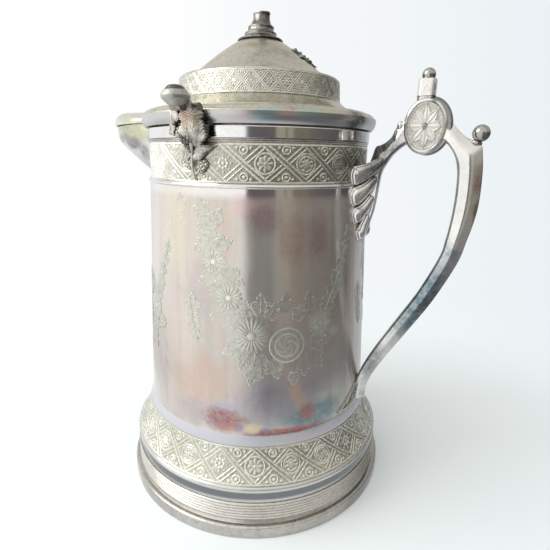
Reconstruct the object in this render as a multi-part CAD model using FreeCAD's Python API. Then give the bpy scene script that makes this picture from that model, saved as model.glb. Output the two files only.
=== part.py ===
import FreeCAD, Part
import functools
import math
import os

# A lidded, double-walled table pitcher for ice water, spun and cast in plated white metal.
# Frame: millimetres, +Z up, origin on the floor at the centre of the foot ring.
# The handle points to +X, the pouring spout to -X, and the lid hinges at the -Y side.

V = FreeCAD.Vector
UP = V(0, 0, 1)
CENTRE = V(0, 0, 0)

# ---- driving dimensions -------------------------------------------------------------------
FOOT_R = 98.8            # foot ring, the widest round of the body
REED_R = 95.6            # crests of the reeded band
SKIRT_LOW_R = 94.0       # patterned skirt, bottom edge
SKIRT_TOP_R = 84.0       # patterned skirt, top edge
BODY_LOW_R = 82.3        # main drum just above its bevel
BODY_TOP_R = 75.4        # main drum under the top band
NECK_R = 73.3            # jacket behind the top band
BAND_R = 74.3            # outside of the patterned top band
COLLAR_R = 75.3          # polished collar at the mouth
LINER_R = 70.4           # outside of the inner vessel at its mouth
LID_R = 78.8             # widest edge of the lid
DRUM_LOW_R = 53.8        # raised drum of the lid, bottom
DRUM_TOP_R = 52.9        # raised drum of the lid, top
CONE_R = 38.6            # foot of the lid's cone

Z_FOOT = 8.4             # top of the foot ring
Z_REED = 23.6            # top of the reeded band
Z_SKIRT = 35.1           # bottom of the patterned skirt
Z_BEVEL = 57.1           # top of the skirt, start of the drum's bevel
Z_BODY = 64.2            # top of the bevel
Z_SHOULDER = 217.2       # top of the main drum
Z_BAND = 219.2           # bottom of the patterned top band
Z_BAND_TOP = 241.4
Z_COLLAR = 243.6
Z_MOUTH = 250.0          # top of the collar
Z_LID = 251.0            # lower edge of the closed lid
Z_DRUM = 270.1           # foot of the lid's drum
Z_DRUM_TOP = 281.3
Z_CONE = 290.6
Z_TIP = 325.0            # top of the finial

SHEET = 1.0              # spun sheet
BASE_R = 91.5            # bore of the foot ring, filled by the base plate
LINER_FLOOR = 40.0       # underside of the inner vessel
LINER_FLAT_R = 58.0      # flat part of its floor
LID_SHEET = 0.9          # lid sheet
STRIP = 0.6              # rolled pattern strip on the lid
REEDS = 8

HINGE_Y = -82.2          # lid hinge axis
HINGE_Z = 257.5
BARREL_R = 3.0
PIN_R = 1.4
RUNNING = 0.05           # radial clearance of a pin in its knuckle
SIDE_GAP = 0.15          # clearance between neighbouring knuckles
LUG_HALF = 4.0           # half width of the lid's knuckle
EAR_HALF = 8.5           # outer half width of the bracket's ears

FLAP_X = -83.2           # spout flap hinge axis
FLAP_Z = 266.2
FLAP_BARREL_R = 2.3
FLAP_PIN_R = 0.9
FLAP_HALF = 7.0
FLAP_EAR_HALF = 10.0

WINDOW_HALF = 14.0       # opening through which the water reaches the spout
WINDOW_LOW = 223.0
WINDOW_HIGH = 240.0
SPOUT_WALL = 1.2
SPOUT_TIP = 130.5        # reach of the spout's lip from the axis
SEAM_Z = 254.8           # height of the lip at its tip
SEAM_RISE = 0.236        # rise of the lip's edge for each millimetre towards the body

HANDLE_REACH = 139.0     # centre line of the grip at its widest
HANDLE_Z = 212.0
MEDAL_X = 110.5          # centre of the handle's oval medallion
MEDAL_Z = 252.8
MEDAL_A = 12.4           # half width of the medallion
MEDAL_B = 16.0           # half height of the medallion
MEDAL_HALF = 4.2         # half thickness of the medallion's frame
MEDAL_RIM = 2.2          # width of that frame
RECESS = 1.2             # depth of the seat of each medallion plate
BLOCK_SIDE = 8.4         # square block above the medallion
BLOCK_DEPTH = 7.0
BLOCK_HEIGHT = 10.6
TOP_BALL_R = 4.3
OUTER_BALL_R = 5.0
OUTER_BALL = (141.0, 249.4)   # x, z of the thumb rest's centre


# ---- helpers --------------------------------------------------------------------------------
def path(*steps):
    """Open wire in the XZ plane. A step is a point (r, z), or a pair of points for an arc."""
    edges = []
    here = V(steps[0][0], 0, steps[0][1])
    for step in steps[1:]:
        if isinstance(step[0], tuple):
            mid = V(step[0][0], 0, step[0][1])
            there = V(step[1][0], 0, step[1][1])
            edges.append(Part.Arc(here, mid, there).toShape())
        else:
            there = V(step[0], 0, step[1])
            edges.append(Part.LineSegment(here, there).toShape())
        here = there
    return Part.Wire(edges)


def ring(*steps):
    """Solid of revolution about Z from a closed outline."""
    return Part.Face(path(*steps, steps[0])).revolve(CENTRE, UP, 360)


def sheet(wire, thickness):
    """Spun sheet: the wire is its outer face, and the thickness goes inwards."""
    strips = [wire.makeOffset2D(side * thickness, 0, True, True) for side in (-1, 1)]
    inner = min(strips, key=lambda strip: strip.BoundBox.XMax)
    return inner.Faces[0].revolve(CENTRE, UP, 360)


def prism(points, axis, low, high):
    """Straight prism of an outline. The points lie in the plane square to the axis."""
    place = {"x": lambda a, b, t: V(t, a, b), "y": lambda a, b, t: V(a, t, b)}[axis]
    corners = [place(a, b, low) for a, b in points]
    face = Part.Face(Part.makePolygon(corners + corners[:1]))
    return face.extrude(place(0, 0, high) - place(0, 0, low))


def rod(start, end, radius):
    """Round bar between two points."""
    return Part.makeCylinder(radius, (end - start).Length, start, end - start)


def bar_y(x, z, half, radius):
    return rod(V(x, -half, z), V(x, half, z), radius)


def bar_x(y, z, half, radius):
    return rod(V(-half, y, z), V(half, y, z), radius)


def oval_wire(centre, a, b):
    """Level oval, a along X and b along Y, that always starts at +X."""
    turns = [math.radians(30 * step) for step in range(12)]
    curve = Part.BSplineCurve()
    curve.interpolate(Points=[centre + V(a * math.cos(t), b * math.sin(t), 0) for t in turns],
                      PeriodicFlag=True)
    return Part.Wire(curve.toShape())


def body_r(z):
    """Outside radius of the main drum at a height."""
    along = (z - Z_BODY) / (Z_SHOULDER - Z_BODY)
    return BODY_LOW_R + (BODY_TOP_R - BODY_LOW_R) * along


def save(name, shape):
    """Write one node: every solid of the shape, with leftover slivers dropped."""
    solids = [solid for solid in shape.Solids if solid.Volume > 0.05]
    Part.makeCompound(solids).exportStep(f"parts/{name}.step")


# ---- outer envelopes that other pieces seat on ------------------------------------------------
@functools.cache
def body_envelope():
    """Everything inside the outer skin of the standing body, with its rings."""
    drum = ring((0, 0), (FOOT_R, 0), (FOOT_R, Z_FOOT), (REED_R, Z_FOOT), (REED_R, Z_SKIRT),
                (SKIRT_LOW_R, Z_SKIRT), SKIRT_CURVE, (BODY_LOW_R, Z_BODY),
                (BODY_TOP_R, Z_SHOULDER), (BAND_R, Z_BAND), (BAND_R, Z_COLLAR),
                (COLLAR_R, Z_COLLAR), (COLLAR_R, Z_MOUTH), (0, Z_MOUTH))
    return drum.fuse(band_lower_moulding()).fuse(band_upper_bead())


@functools.cache
def lid_envelope():
    """Everything inside the lid's outer skin."""
    return Part.Face(Part.Wire(lid_path().Edges
                               + path((FINIAL_SEAT_R, FINIAL_SEAT_Z), (0, FINIAL_SEAT_Z),
                                      (0, Z_LID), LID_EDGE).Edges)).revolve(CENTRE, UP, 360)


def lid_clearance():
    """Space that the lid's rim needs above the collar."""
    return Part.makeCylinder(LID_R + 1.5, Z_TIP - Z_MOUTH, V(0, 0, Z_MOUTH))


# ---- foot -------------------------------------------------------------------------------------
SKIRT_CURVE = ((87.8, 45.5), (SKIRT_TOP_R, Z_BEVEL))
SEAT_R = BASE_R + 1      # inside of the rings that stand on the foot ring


def foot_ring():
    """Heavy plain ring that the pitcher stands on."""
    return ring((BASE_R, 0), (FOOT_R - 0.6, 0), (FOOT_R, 0.8), (FOOT_R, Z_FOOT - 1.6),
                ((FOOT_R - 0.4, Z_FOOT - 0.5), (FOOT_R - 1.6, Z_FOOT)), (BASE_R, Z_FOOT))


def base_plate():
    """Flat disc that closes the underside, flush with the bottom of the ring."""
    return Part.makeCylinder(BASE_R, SHEET)


def reeded_band():
    """Band of parallel convex reeds above the foot ring."""
    plain = 0.6
    pitch = (Z_REED - Z_FOOT - 2 * plain) / REEDS
    root = REED_R - 0.5
    steps = [(SEAT_R, Z_FOOT), (root, Z_FOOT), (root, Z_FOOT + plain)]
    for reed in range(REEDS):
        low = Z_FOOT + plain + reed * pitch
        steps.append(((REED_R, low + pitch / 2), (root, low + pitch)))
    steps += [(root, Z_REED), (SEAT_R, Z_REED)]
    return ring(*steps)


def foot_moulding():
    """Polished convex moulding between the reeds and the skirt."""
    return ring((SEAT_R, Z_REED), (REED_R - 1.2, Z_REED), (REED_R - 1.2, Z_REED + 0.8),
                ((REED_R + 0.3, Z_REED + 5.4), (SKIRT_LOW_R + 0.3, Z_SKIRT - 1.0)),
                (SKIRT_LOW_R + 0.3, Z_SKIRT), (SEAT_R, Z_SKIRT))


def foot_skirt():
    """Flared skirt with the rolled lattice pattern."""
    return sheet(path((SKIRT_LOW_R, Z_SKIRT), SKIRT_CURVE), SHEET).cut(foot_moulding())


# ---- body -------------------------------------------------------------------------------------
def spout_window(low_r, high_r):
    """Opening behind the spout, through which the water leaves."""
    return Part.makeBox(high_r - low_r, 2 * WINDOW_HALF, WINDOW_HIGH - WINDOW_LOW,
                        V(-high_r, -WINDOW_HALF, WINDOW_LOW))


def body_jacket():
    """Outer drum, from its bevelled foot to the seat of the collar."""
    wall = sheet(path((SKIRT_TOP_R, Z_BEVEL), (BODY_LOW_R, Z_BODY), (BODY_TOP_R, Z_SHOULDER),
                      (NECK_R, Z_BAND), (NECK_R, Z_COLLAR)), SHEET)
    return wall.cut(spout_window(LINER_R, BAND_R + 5)).cut(foot_skirt())


def band_lower_moulding():
    """Hollow moulding and bead under the top band."""
    foot_z = Z_SHOULDER - 2.6
    return ring((body_r(foot_z), foot_z), (BODY_TOP_R + 0.7, foot_z + 0.5),
                ((BODY_TOP_R + 0.2, Z_SHOULDER - 1.0), (BODY_TOP_R + 0.6, Z_SHOULDER + 0.2)),
                ((BODY_TOP_R + 0.9, Z_SHOULDER + 1.0), (BODY_TOP_R + 0.3, Z_BAND)),
                (NECK_R, Z_BAND), (BODY_TOP_R, Z_SHOULDER))


def upper_band():
    """Rolled lattice strip around the neck, with its ends at the spout."""
    strip = ring((NECK_R, Z_BAND), (BAND_R, Z_BAND), (BAND_R, Z_BAND_TOP), (NECK_R, Z_BAND_TOP))
    return strip.cut(spout_block(0))


def band_upper_bead():
    """Double bead between the top band and the collar."""
    mid = (Z_BAND_TOP + Z_COLLAR) / 2
    return ring((NECK_R, Z_BAND_TOP), (BAND_R, Z_BAND_TOP),
                ((BAND_R + 0.5, (Z_BAND_TOP + mid) / 2), (BAND_R, mid)),
                ((BAND_R + 0.5, (Z_COLLAR + mid) / 2), (BAND_R, Z_COLLAR)), (NECK_R, Z_COLLAR))


def collar_ring():
    """Polished collar that joins the jacket to the inner vessel."""
    return ring((LINER_R, Z_COLLAR), (COLLAR_R - 0.4, Z_COLLAR), (COLLAR_R, Z_COLLAR + 0.4),
                (COLLAR_R, Z_MOUTH - 0.5), (COLLAR_R - 0.5, Z_MOUTH), (LINER_R, Z_MOUTH))


def inner_liner():
    """Inner vessel that holds the ice and water, hung from the collar."""
    corner = ((65.8, LINER_FLOOR + 3.2), (69.0, LINER_FLOOR + 11.0))
    wall = sheet(path((0, LINER_FLOOR), (LINER_FLAT_R, LINER_FLOOR), corner,
                      (LINER_R, Z_COLLAR), (LINER_R, Z_MOUTH)), SHEET)
    return wall.cut(spout_window(LINER_R - 5, BAND_R))


def ice_guard():
    """Curved, pierced plate across the window that keeps ice out of the spout."""
    hole_r, pitch, lap, thickness, gap = 1.6, 5.0, 3.0, 0.8, 0.4
    outer = LINER_R - SHEET - gap
    low, high, half = WINDOW_LOW - lap, WINDOW_HIGH + lap, WINDOW_HALF + lap
    plate = ring((outer - thickness, low), (outer, low), (outer, high), (outer - thickness, high))
    guard = plate.common(Part.makeBox(outer, 2 * half, high - low, V(-outer, -half, low)))
    for row in (-1, 0, 1):
        for column in (-2, -1, 0, 1, 2):
            at = V(-outer, column * pitch, (WINDOW_LOW + WINDOW_HIGH) / 2 + row * pitch)
            guard = guard.cut(rod(at - V(pitch, 0, 0), at + V(2 * pitch, 0, 0), hole_r))
    return guard


# ---- spout ------------------------------------------------------------------------------------
SPOUT_SECTIONS = (
    # height, reach from the axis, half width
    (212.5, 78.0, 5.0),
    (216.0, 83.5, 11.0),
    (223.3, 97.5, 16.5),
    (230.9, 115.0, 20.0),
    (238.7, 125.5, 21.5),
    (249.0, SPOUT_TIP + 0.4, 22.5),
    (257.0, SPOUT_TIP + 0.8, 22.5),
    (272.0, SPOUT_TIP + 0.8, 22.0),
)


@functools.cache
def spout_block(grow):
    """Solid beak, grown outwards by a distance, from below its root to above the flap."""
    rounds = [oval_wire(V(-BODY_TOP_R, 0, z - grow), reach - BODY_TOP_R + grow, half + grow)
              for z, reach, half in SPOUT_SECTIONS]
    return Part.makeLoft(rounds, True, False)


def seam(x):
    """Height of the spout's rim at a distance x from the axis."""
    return SEAM_Z + SEAM_RISE * (SPOUT_TIP - x)


def above_seam(gap):
    """Half space above the rim of the spout."""
    near, far, top = 60.0, 150.0, 300.0
    return prism([(-far, seam(far) + gap), (-near, seam(near) + gap), (-near, top), (-far, top)],
                 "y", -40, 40)


def spout():
    """Beak with an open top, a back wall outside the lid, and two hinge ears."""
    back = LID_R + 1.5 + SPOUT_WALL
    hollow = spout_block(-SPOUT_WALL).cut(Part.makeCylinder(back, 60, V(0, 0, Z_BAND_TOP - 1)))
    beak = spout_block(0).cut(above_seam(0)).cut(hollow)
    for side in (-1, 1):
        low, high = sorted((side * (FLAP_HALF + SIDE_GAP), side * FLAP_EAR_HALF))
        ear = rod(V(FLAP_X, low, FLAP_Z), V(FLAP_X, high, FLAP_Z), FLAP_BARREL_R)
        stalk = Part.makeBox(2.4, high - low, 8.0, V(FLAP_X - 1.2, low, FLAP_Z - 8.0))
        beak = beak.fuse(ear).fuse(stalk.common(spout_block(0)))
    beak = beak.cut(bar_y(FLAP_X, FLAP_Z, FLAP_EAR_HALF + 1, FLAP_PIN_R))
    clear = bar_y(FLAP_X, FLAP_Z, FLAP_HALF + SIDE_GAP, FLAP_BARREL_R + 0.5)
    return beak.cut(clear).cut(body_envelope()).cut(lid_clearance())


def flap_crown(inset):
    """Space under the flap's crowned top."""
    crest = prism_arc((-SPOUT_TIP - 1.5, SEAM_Z + 0.6 - inset), (-112, 266.4 - inset),
                      (FLAP_X + 1.0, 267.4 - inset))
    crown_r = 38.0
    barrel = rod(V(-150, 0, 267.6 - inset - crown_r), V(-60, 0, 267.6 - inset - crown_r), crown_r)
    return crest.common(barrel)


def prism_arc(start, mid, end):
    """Everything under an arc in the XZ plane, across the whole spout."""
    floor = 240.0
    outline = path((start[0], floor), start, (mid, end), (end[0], floor), (start[0], floor))
    return Part.Face(outline).extrude(V(0, 80, 0)).translated(V(0, -40, 0))


def spout_flap():
    """Domed hinged cover of the spout, with its knuckle."""
    gap = 0.1
    shell = spout_block(0.5).common(above_seam(gap)).common(flap_crown(0))
    hollow = spout_block(-0.7).common(above_seam(gap - 1)).common(flap_crown(1.1))
    shell = shell.cut(hollow.cut(Part.makeCylinder(LID_R + 6.5, 80, V(0, 0, 220))))
    for side in (-1, 1):
        low, high = sorted((side * FLAP_HALF, side * (FLAP_EAR_HALF + SIDE_GAP)))
        shell = shell.cut(Part.makeBox(20, high - low, 30, V(FLAP_X - 3.0, low, 250)))
    knuckle = bar_y(FLAP_X, FLAP_Z, FLAP_HALF, FLAP_BARREL_R)
    shell = shell.cut(Part.makeCylinder(-FLAP_X, 80, V(0, 0, 220))).fuse(knuckle)
    return shell.cut(bar_y(FLAP_X, FLAP_Z, FLAP_HALF + 1, FLAP_PIN_R + RUNNING))


def spout_flap_pin():
    return bar_y(FLAP_X, FLAP_Z, FLAP_EAR_HALF, FLAP_PIN_R)


# ---- lid --------------------------------------------------------------------------------------
LID_EDGE = (76.5, Z_LID)
FINIAL_SEAT_R = 13.0
FINIAL_SEAT_Z = 307.2


def lid_path():
    """Outer face of the lid, from its lower edge up to the seat of the finial."""
    return path(LID_EDGE, (LID_R - 0.3, Z_LID + 6.0),
                ((LID_R, Z_LID + 6.8), (LID_R - 0.7, Z_LID + 7.4)), (72.4, 261.5),
                ((62.9, 263.6), (DRUM_LOW_R + 1.8, Z_DRUM - 1.6)), (DRUM_LOW_R, Z_DRUM),
                (DRUM_TOP_R, Z_DRUM_TOP), ((50.3, 287.2), (CONE_R + 5.0, 289.4)),
                (CONE_R + 0.6, 289.9), (CONE_R, Z_CONE),
                ((27.0, 299.9), (FINIAL_SEAT_R, FINIAL_SEAT_Z)))


@functools.cache
def lid_shell():
    """Spun lid: rim, hollow shoulder, drum and cone."""
    return sheet(lid_path(), LID_SHEET)


def lid_band():
    """Rolled lattice strip around the lid's drum."""
    return ring((DRUM_LOW_R, Z_DRUM), (DRUM_LOW_R + STRIP, Z_DRUM),
                (DRUM_TOP_R + STRIP, Z_DRUM_TOP), (DRUM_TOP_R, Z_DRUM_TOP))


def lid_lining():
    """Inner dish of the double lid, with the skirt that centres it in the mouth."""
    thin, top_z, dish_z = 0.8, Z_LID + 0.9, Z_LID + 10.6
    skirt_r = LINER_R - SHEET - 0.9
    skirt_z = Z_MOUTH - 5.5
    flange_r = LID_EDGE[0] - 1.0
    over = ((40, Z_LID + 8.0), (8, dish_z))
    under = ((40, Z_LID + 8.0 - thin), (skirt_r - 4.2, Z_LID))
    return ring((skirt_r - thin, skirt_z), (skirt_r, skirt_z), (skirt_r, Z_LID + 0.1),
                (flange_r, Z_LID + 0.1), (flange_r, top_z), (skirt_r - 4, top_z), over,
                (0, dish_z), (0, dish_z - thin), (8, dish_z - thin), under,
                (skirt_r - thin, Z_LID)).cut(lid_shell())


def finial():
    """Turned finial with a flared top, and its stud through the lid."""
    stud_r = 2.0
    return ring((0, 300.0), (stud_r, 300.0), (stud_r, FINIAL_SEAT_Z - 0.6),
                (FINIAL_SEAT_R - 0.6, FINIAL_SEAT_Z - 0.6), (FINIAL_SEAT_R + 1.9, 306.9),
                (FINIAL_SEAT_R + 1.4, 308.0), ((10.6, 309.8), (8.9, 313.2)),
                ((8.9, 314.4), (7.6, 314.8)), ((6.4, 316.8), (5.3, 320.6)),
                ((5.3, 322.4), (5.8, 324.0)), ((5.4, 324.8), (4.2, Z_TIP)),
                (0, Z_TIP)).cut(lid_shell())


def finial_nut():
    """Square nut on the stud, inside the lid."""
    side = 8.0
    block = Part.makeBox(side, side, 3.0, V(-side / 2, -side / 2, 301.0))
    return block.cut(Part.makeCylinder(2.0, 20, V(0, 0, 295)))


def finial_washer():
    """Dished washer that draws the finial down on the cone."""
    return ring((2.0, 304.0), (9.0, 304.0), (9.0, 305.0), (2.0, 305.0)).cut(lid_shell())


def lid_sprig():
    """Cast sprig that lies on the slope of the cone."""
    turn = math.radians(19)
    high = V(22.5 * math.cos(turn), 22.5 * math.sin(turn), 303.2)
    low = V(35.5 * math.cos(turn), 35.5 * math.sin(turn), 294.2)
    sprig = rod(high, low, 2.0).fuse(Part.makeSphere(2.0, high)).fuse(Part.makeSphere(3.0, low))
    return sprig.cut(lid_envelope())


# ---- lid hinge ----------------------------------------------------------------------------------
KNOB_Y = -90.6
KNOB_Z = 258.9
ARM_SWING = 10.5         # room that the knob's arm needs below the hinge axis


def thumb_knob():
    """Turned thumb knob: pressing it down tips the lid open."""
    knob = ring((0, 0), (4.0, 0), ((7.0, 1.6), (8.2, 5.2)), ((7.4, 7.8), (4.8, 9.1)), (0, 9.5))
    return knob.translated(V(0, KNOB_Y, KNOB_Z))


def lid_hinge_lug():
    """Knuckle soldered to the lid's rim, with the arm that carries the knob."""
    arm_half = 3.2
    barrel = bar_x(HINGE_Y, HINGE_Z, LUG_HALF, BARREL_R)
    inward = Part.makeBox(2 * LUG_HALF, 9, 5.2, V(-LUG_HALF, HINGE_Y, HINGE_Z - 2.2))
    outward = prism([(HINGE_Y, HINGE_Z - 1.2), (HINGE_Y, HINGE_Z + 3.0), (KNOB_Y - 2.0, KNOB_Z),
                     (KNOB_Y - 1.0, KNOB_Z - 2.6), (HINGE_Y - 3.0, HINGE_Z - 1.6)],
                    "x", -arm_half, arm_half)
    lug = barrel.fuse(inward.cut(lid_envelope())).fuse(outward)
    lug = lug.cut(bar_x(HINGE_Y, HINGE_Z, LUG_HALF + 1, PIN_R + RUNNING))
    return lug.cut(thumb_knob())


@functools.cache
def hinge_bracket():
    """Fixed half of the hinge: a pad on the collar and two ears."""
    pad = prism([(-70, Z_COLLAR + 0.2), (-81.5, Z_COLLAR + 0.2), (-84.4, HINGE_Z - 2.5),
                 (HINGE_Y - BARREL_R, HINGE_Z), (-79.6, HINGE_Z), (-79.6, Z_MOUTH), (-70, Z_MOUTH)],
                "x", -EAR_HALF, EAR_HALF)
    bracket = pad.fuse(bar_x(HINGE_Y, HINGE_Z, EAR_HALF, BARREL_R))
    slot = Part.makeBox(2 * (LUG_HALF + SIDE_GAP), 20, 30,
                        V(-LUG_HALF - SIDE_GAP, -95, HINGE_Z - ARM_SWING))
    bracket = bracket.cut(slot).cut(body_envelope())
    bracket = bracket.cut(bar_x(HINGE_Y, HINGE_Z, EAR_HALF + 1, PIN_R))
    return bracket.cut(lid_swing())


def lid_swing():
    """Space swept by the lid's rim close to the hinge."""
    return Part.makeCylinder(LID_R + 0.3, 20, V(0, 0, Z_MOUTH + 0.3))


def lid_hinge_pin():
    return bar_x(HINGE_Y, HINGE_Z, EAR_HALF, PIN_R)


VINE_LEAF = (
    # x, z of the leaf casting's outline, seen from the hinge side
    (-31, 256), (-25, 251), (-18, 256), (-12, 252), (-9, 257), (9, 257), (14, 250), (12, 240),
    (6, 237), (4, 230), (9, 227), (3, 221), (0, 218.6), (-3, 221), (-8, 227), (-4, 231),
    (-6, 237), (-16, 241), (-26, 247),
)


@functools.cache
def vine_leaf():
    """Cast vine leaf that covers the hinge's foot and reaches down over the top band."""
    low_z, high_z, outer = 218.6, 257.0, 79.2
    shell = ring((70, low_z), (outer, low_z), (outer, high_z), (70, high_z))
    slot = Part.makeBox(2 * (LUG_HALF + 0.4), 40, 30,
                        V(-LUG_HALF - 0.4, -100, HINGE_Z - ARM_SWING))
    leaf = shell.common(prism(VINE_LEAF, "y", -90, -50)).cut(body_envelope())
    return leaf.cut(lid_swing()).cut(hinge_bracket()).cut(slot)


def grape_cluster():
    """Bunch of round grapes on the leaf, in rows that narrow downwards."""
    grape_r, base_y, top_z = 2.1, -80.2, 247.0
    bunch = []
    for row, count in enumerate((3, 4, 3, 2, 1)):
        for column in range(count):
            at = V((column - (count - 1) / 2) * 3.2 - 3.0, base_y, top_z - row * 2.7)
            bunch.append(Part.makeSphere(grape_r, at))
    cluster = bunch[0].multiFuse(bunch[1:])
    return cluster.cut(vine_leaf()).cut(hinge_bracket()).cut(body_envelope())


# ---- handle -----------------------------------------------------------------------------------
GRIP = (
    # x, z of the centre line, in-plane depth and width of the section
    (MEDAL_X + 3, MEDAL_Z - 2, 10.0, 8.0),
    (126.5, 248.5, 10.5, 9.0),
    (134.5, 240.5, 10.5, 9.6),
    (138.4, 228.0, 9.6, 10.0),
    (HANDLE_REACH, HANDLE_Z, 9.2, 10.2),
    (137.2, 196.0, 9.2, 10.2),
    (132.0, 173.0, 9.0, 10.0),
    (121.5, 149.0, 8.8, 9.8),
    (109.0, 126.0, 8.6, 9.4),
    (95.8, 103.0, 8.2, 9.0),
    (88.6, 88.0, 7.8, 8.8),
    (84.4, 76.0, 7.4, 8.8),
    (84.0, 66.5, 8.0, 9.6),
)
ARM = (
    (MEDAL_X - 3, MEDAL_Z - 2, 9.0, 7.0),
    (98.5, 247.0, 9.5, 7.4),
    (91.5, 240.0, 9.5, 7.8),
    (85.6, 231.0, 10.0, 8.4),
    (81.0, 219.0, 9.0, 8.4),
    (78.4, 204.0, 6.4, 7.4),
    (77.0, 188.0, 3.6, 5.0),
)


def octagon(centre, along, depth, width):
    """Eight-sided section square to the direction along, in the plane of the handle."""
    across = V(along.z, 0, -along.x)
    side = V(0, 1, 0)
    cut = 0.28 * min(depth, width)
    a, b = depth / 2, width / 2
    corners = [(a, b - cut), (a - cut, b), (cut - a, b), (-a, b - cut),
               (-a, cut - b), (cut - a, -b), (a - cut, -b), (a, cut - b)]
    points = [centre + across * p + side * q for p, q in corners]
    return Part.makePolygon(points + points[:1])


def limb(stations):
    """Faceted limb lofted through its stations."""
    sections = []
    for index, (x, z, depth, width) in enumerate(stations):
        before = stations[max(index - 1, 0)]
        after = stations[min(index + 1, len(stations) - 1)]
        along = V(after[0] - before[0], 0, after[1] - before[1]).normalize()
        sections.append(octagon(V(x, 0, z), along, depth, width))
    return Part.makeLoft(sections, True, True)


def oval(a, b, half):
    """Flat oval disc in the plane of the handle, centred on the medallion."""
    curve = Part.Ellipse(V(0, 0, 0), b, a).toShape()
    disc = Part.Face(Part.Wire(curve)).extrude(V(0, 0, 2 * half)).translated(V(0, 0, -half))
    disc.rotate(CENTRE, V(1, 0, 0), 90)
    disc.rotate(CENTRE, V(0, 1, 0), 90)
    return disc.translated(V(MEDAL_X, 0, MEDAL_Z))


@functools.cache
def handle():
    """Cast handle: grip, upper arm and the medallion's oval frame."""
    cast = limb(GRIP).fuse(limb(ARM)).fuse(oval(MEDAL_A, MEDAL_B, MEDAL_HALF))
    for side in (-1, 1):
        seat = oval(MEDAL_A - MEDAL_RIM, MEDAL_B - MEDAL_RIM, RECESS).translated(V(0, side * MEDAL_HALF, 0))
        cast = cast.cut(seat)
    return cast.cut(body_envelope()).cut(lid_clearance())


def medallion_plate(side):
    """Oval plate with an eight-petalled flower, set in the frame."""
    plate = oval(MEDAL_A - MEDAL_RIM, MEDAL_B - MEDAL_RIM, RECESS / 2)
    plate = plate.translated(V(0, side * (MEDAL_HALF - RECESS / 2), 0))
    boss = Part.makeSphere(1.6, V(MEDAL_X, side * (MEDAL_HALF - RECESS / 2), MEDAL_Z))
    for petal in range(8):
        turn = math.radians(45 * petal)
        reach = V((MEDAL_A - 4) * math.cos(turn), 0, (MEDAL_B - 4) * math.sin(turn))
        root = V(MEDAL_X, side * (MEDAL_HALF - RECESS / 2), MEDAL_Z)
        boss = boss.fuse(Part.makeCone(1.4, 0.5, reach.Length, root, reach))
    return plate.fuse(boss).cut(handle())


BLOCK_X = MEDAL_X - 1.0
BLOCK_LOW = MEDAL_Z + MEDAL_B - 1.5


def handle_block():
    """Square block on top of the medallion."""
    corner = V(BLOCK_X - BLOCK_SIDE / 2, -BLOCK_DEPTH / 2, BLOCK_LOW)
    return Part.makeBox(BLOCK_SIDE, BLOCK_DEPTH, BLOCK_HEIGHT, corner).cut(handle())


def handle_top_ball():
    """Ball that stands on the block, sunk a third of its radius into it."""
    centre = V(BLOCK_X, 0, BLOCK_LOW + BLOCK_HEIGHT + TOP_BALL_R * 2 / 3)
    return Part.makeSphere(TOP_BALL_R, centre).cut(handle_block())


def handle_outer_ball():
    """Ball thumb rest at the shoulder of the grip."""
    ball_x, ball_z = OUTER_BALL
    return Part.makeSphere(OUTER_BALL_R, V(ball_x, 0, ball_z)).cut(handle())


def handle_root_leaf():
    """Scalloped leaf that fixes the upper arm to the body."""
    top_z, tip_z, lobes = 233.0, 181.5, 4
    half_top, half_low = 19.0, 6.0
    step = (top_z - tip_z - 8.0) / lobes
    outline = []
    for lobe in range(lobes + 1):
        width = half_top + (half_low - half_top) * (lobe / lobes) ** 1.4
        outline.append((width * 0.72, top_z - lobe * step))
        if lobe < lobes:
            outline.append((width, top_z - (lobe + 0.45) * step))
    outline.append((0.6, tip_z))
    points = outline + [(-y, z) for y, z in reversed(outline)]
    leaf = prism(points, "x", 50, 90)
    shell = ring((60, tip_z), (body_r(tip_z) + 1.5, tip_z), ((84.0, 212.0), (79.0, top_z)),
                 (60, top_z))
    return leaf.common(shell).cut(body_envelope()).cut(handle())


def handle_foot_plate():
    """Three-cornered plate that spreads the lower end of the handle on the drum."""
    low_z, top_z, half = 64.8, 90.0, 25.0
    plate = prism([(-half, low_z), (half, low_z), (5.0, top_z), (-5.0, top_z)], "x", 50, 90)
    shell = ring((60, low_z), (body_r(low_z) + 1.6, low_z), (body_r(top_z) + 1.2, top_z),
                 (60, top_z))
    return plate.common(shell).cut(body_envelope()).cut(handle())


# ---- all nodes ----------------------------------------------------------------------------------
os.makedirs("parts", exist_ok=True)
NODES = {
    "foot_ring": foot_ring, "base_plate": base_plate, "reeded_band": reeded_band,
    "foot_moulding": foot_moulding, "foot_skirt": foot_skirt, "body_jacket": body_jacket,
    "band_lower_moulding": band_lower_moulding, "upper_band": upper_band,
    "band_upper_bead": band_upper_bead, "collar_ring": collar_ring, "inner_liner": inner_liner,
    "ice_guard": ice_guard, "spout": spout, "spout_flap": spout_flap,
    "spout_flap_pin": spout_flap_pin, "lid_shell": lid_shell, "lid_band": lid_band,
    "lid_lining": lid_lining, "finial": finial, "finial_washer": finial_washer,
    "finial_nut": finial_nut, "lid_sprig": lid_sprig, "lid_hinge_lug": lid_hinge_lug,
    "thumb_knob": thumb_knob, "hinge_bracket": hinge_bracket, "lid_hinge_pin": lid_hinge_pin,
    "vine_leaf": vine_leaf, "grape_cluster": grape_cluster, "handle": handle,
    "handle_block": handle_block, "handle_top_ball": handle_top_ball,
    "handle_outer_ball": handle_outer_ball, "handle_root_leaf": handle_root_leaf,
    "handle_foot_plate": handle_foot_plate,
    "medallion_near": lambda: medallion_plate(-1), "medallion_far": lambda: medallion_plate(1),
}
for name, build in NODES.items():
    save(name, build())
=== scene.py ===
import math

import bmesh
import bpy
import numpy as np
from mathutils import Matrix, Vector


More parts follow.
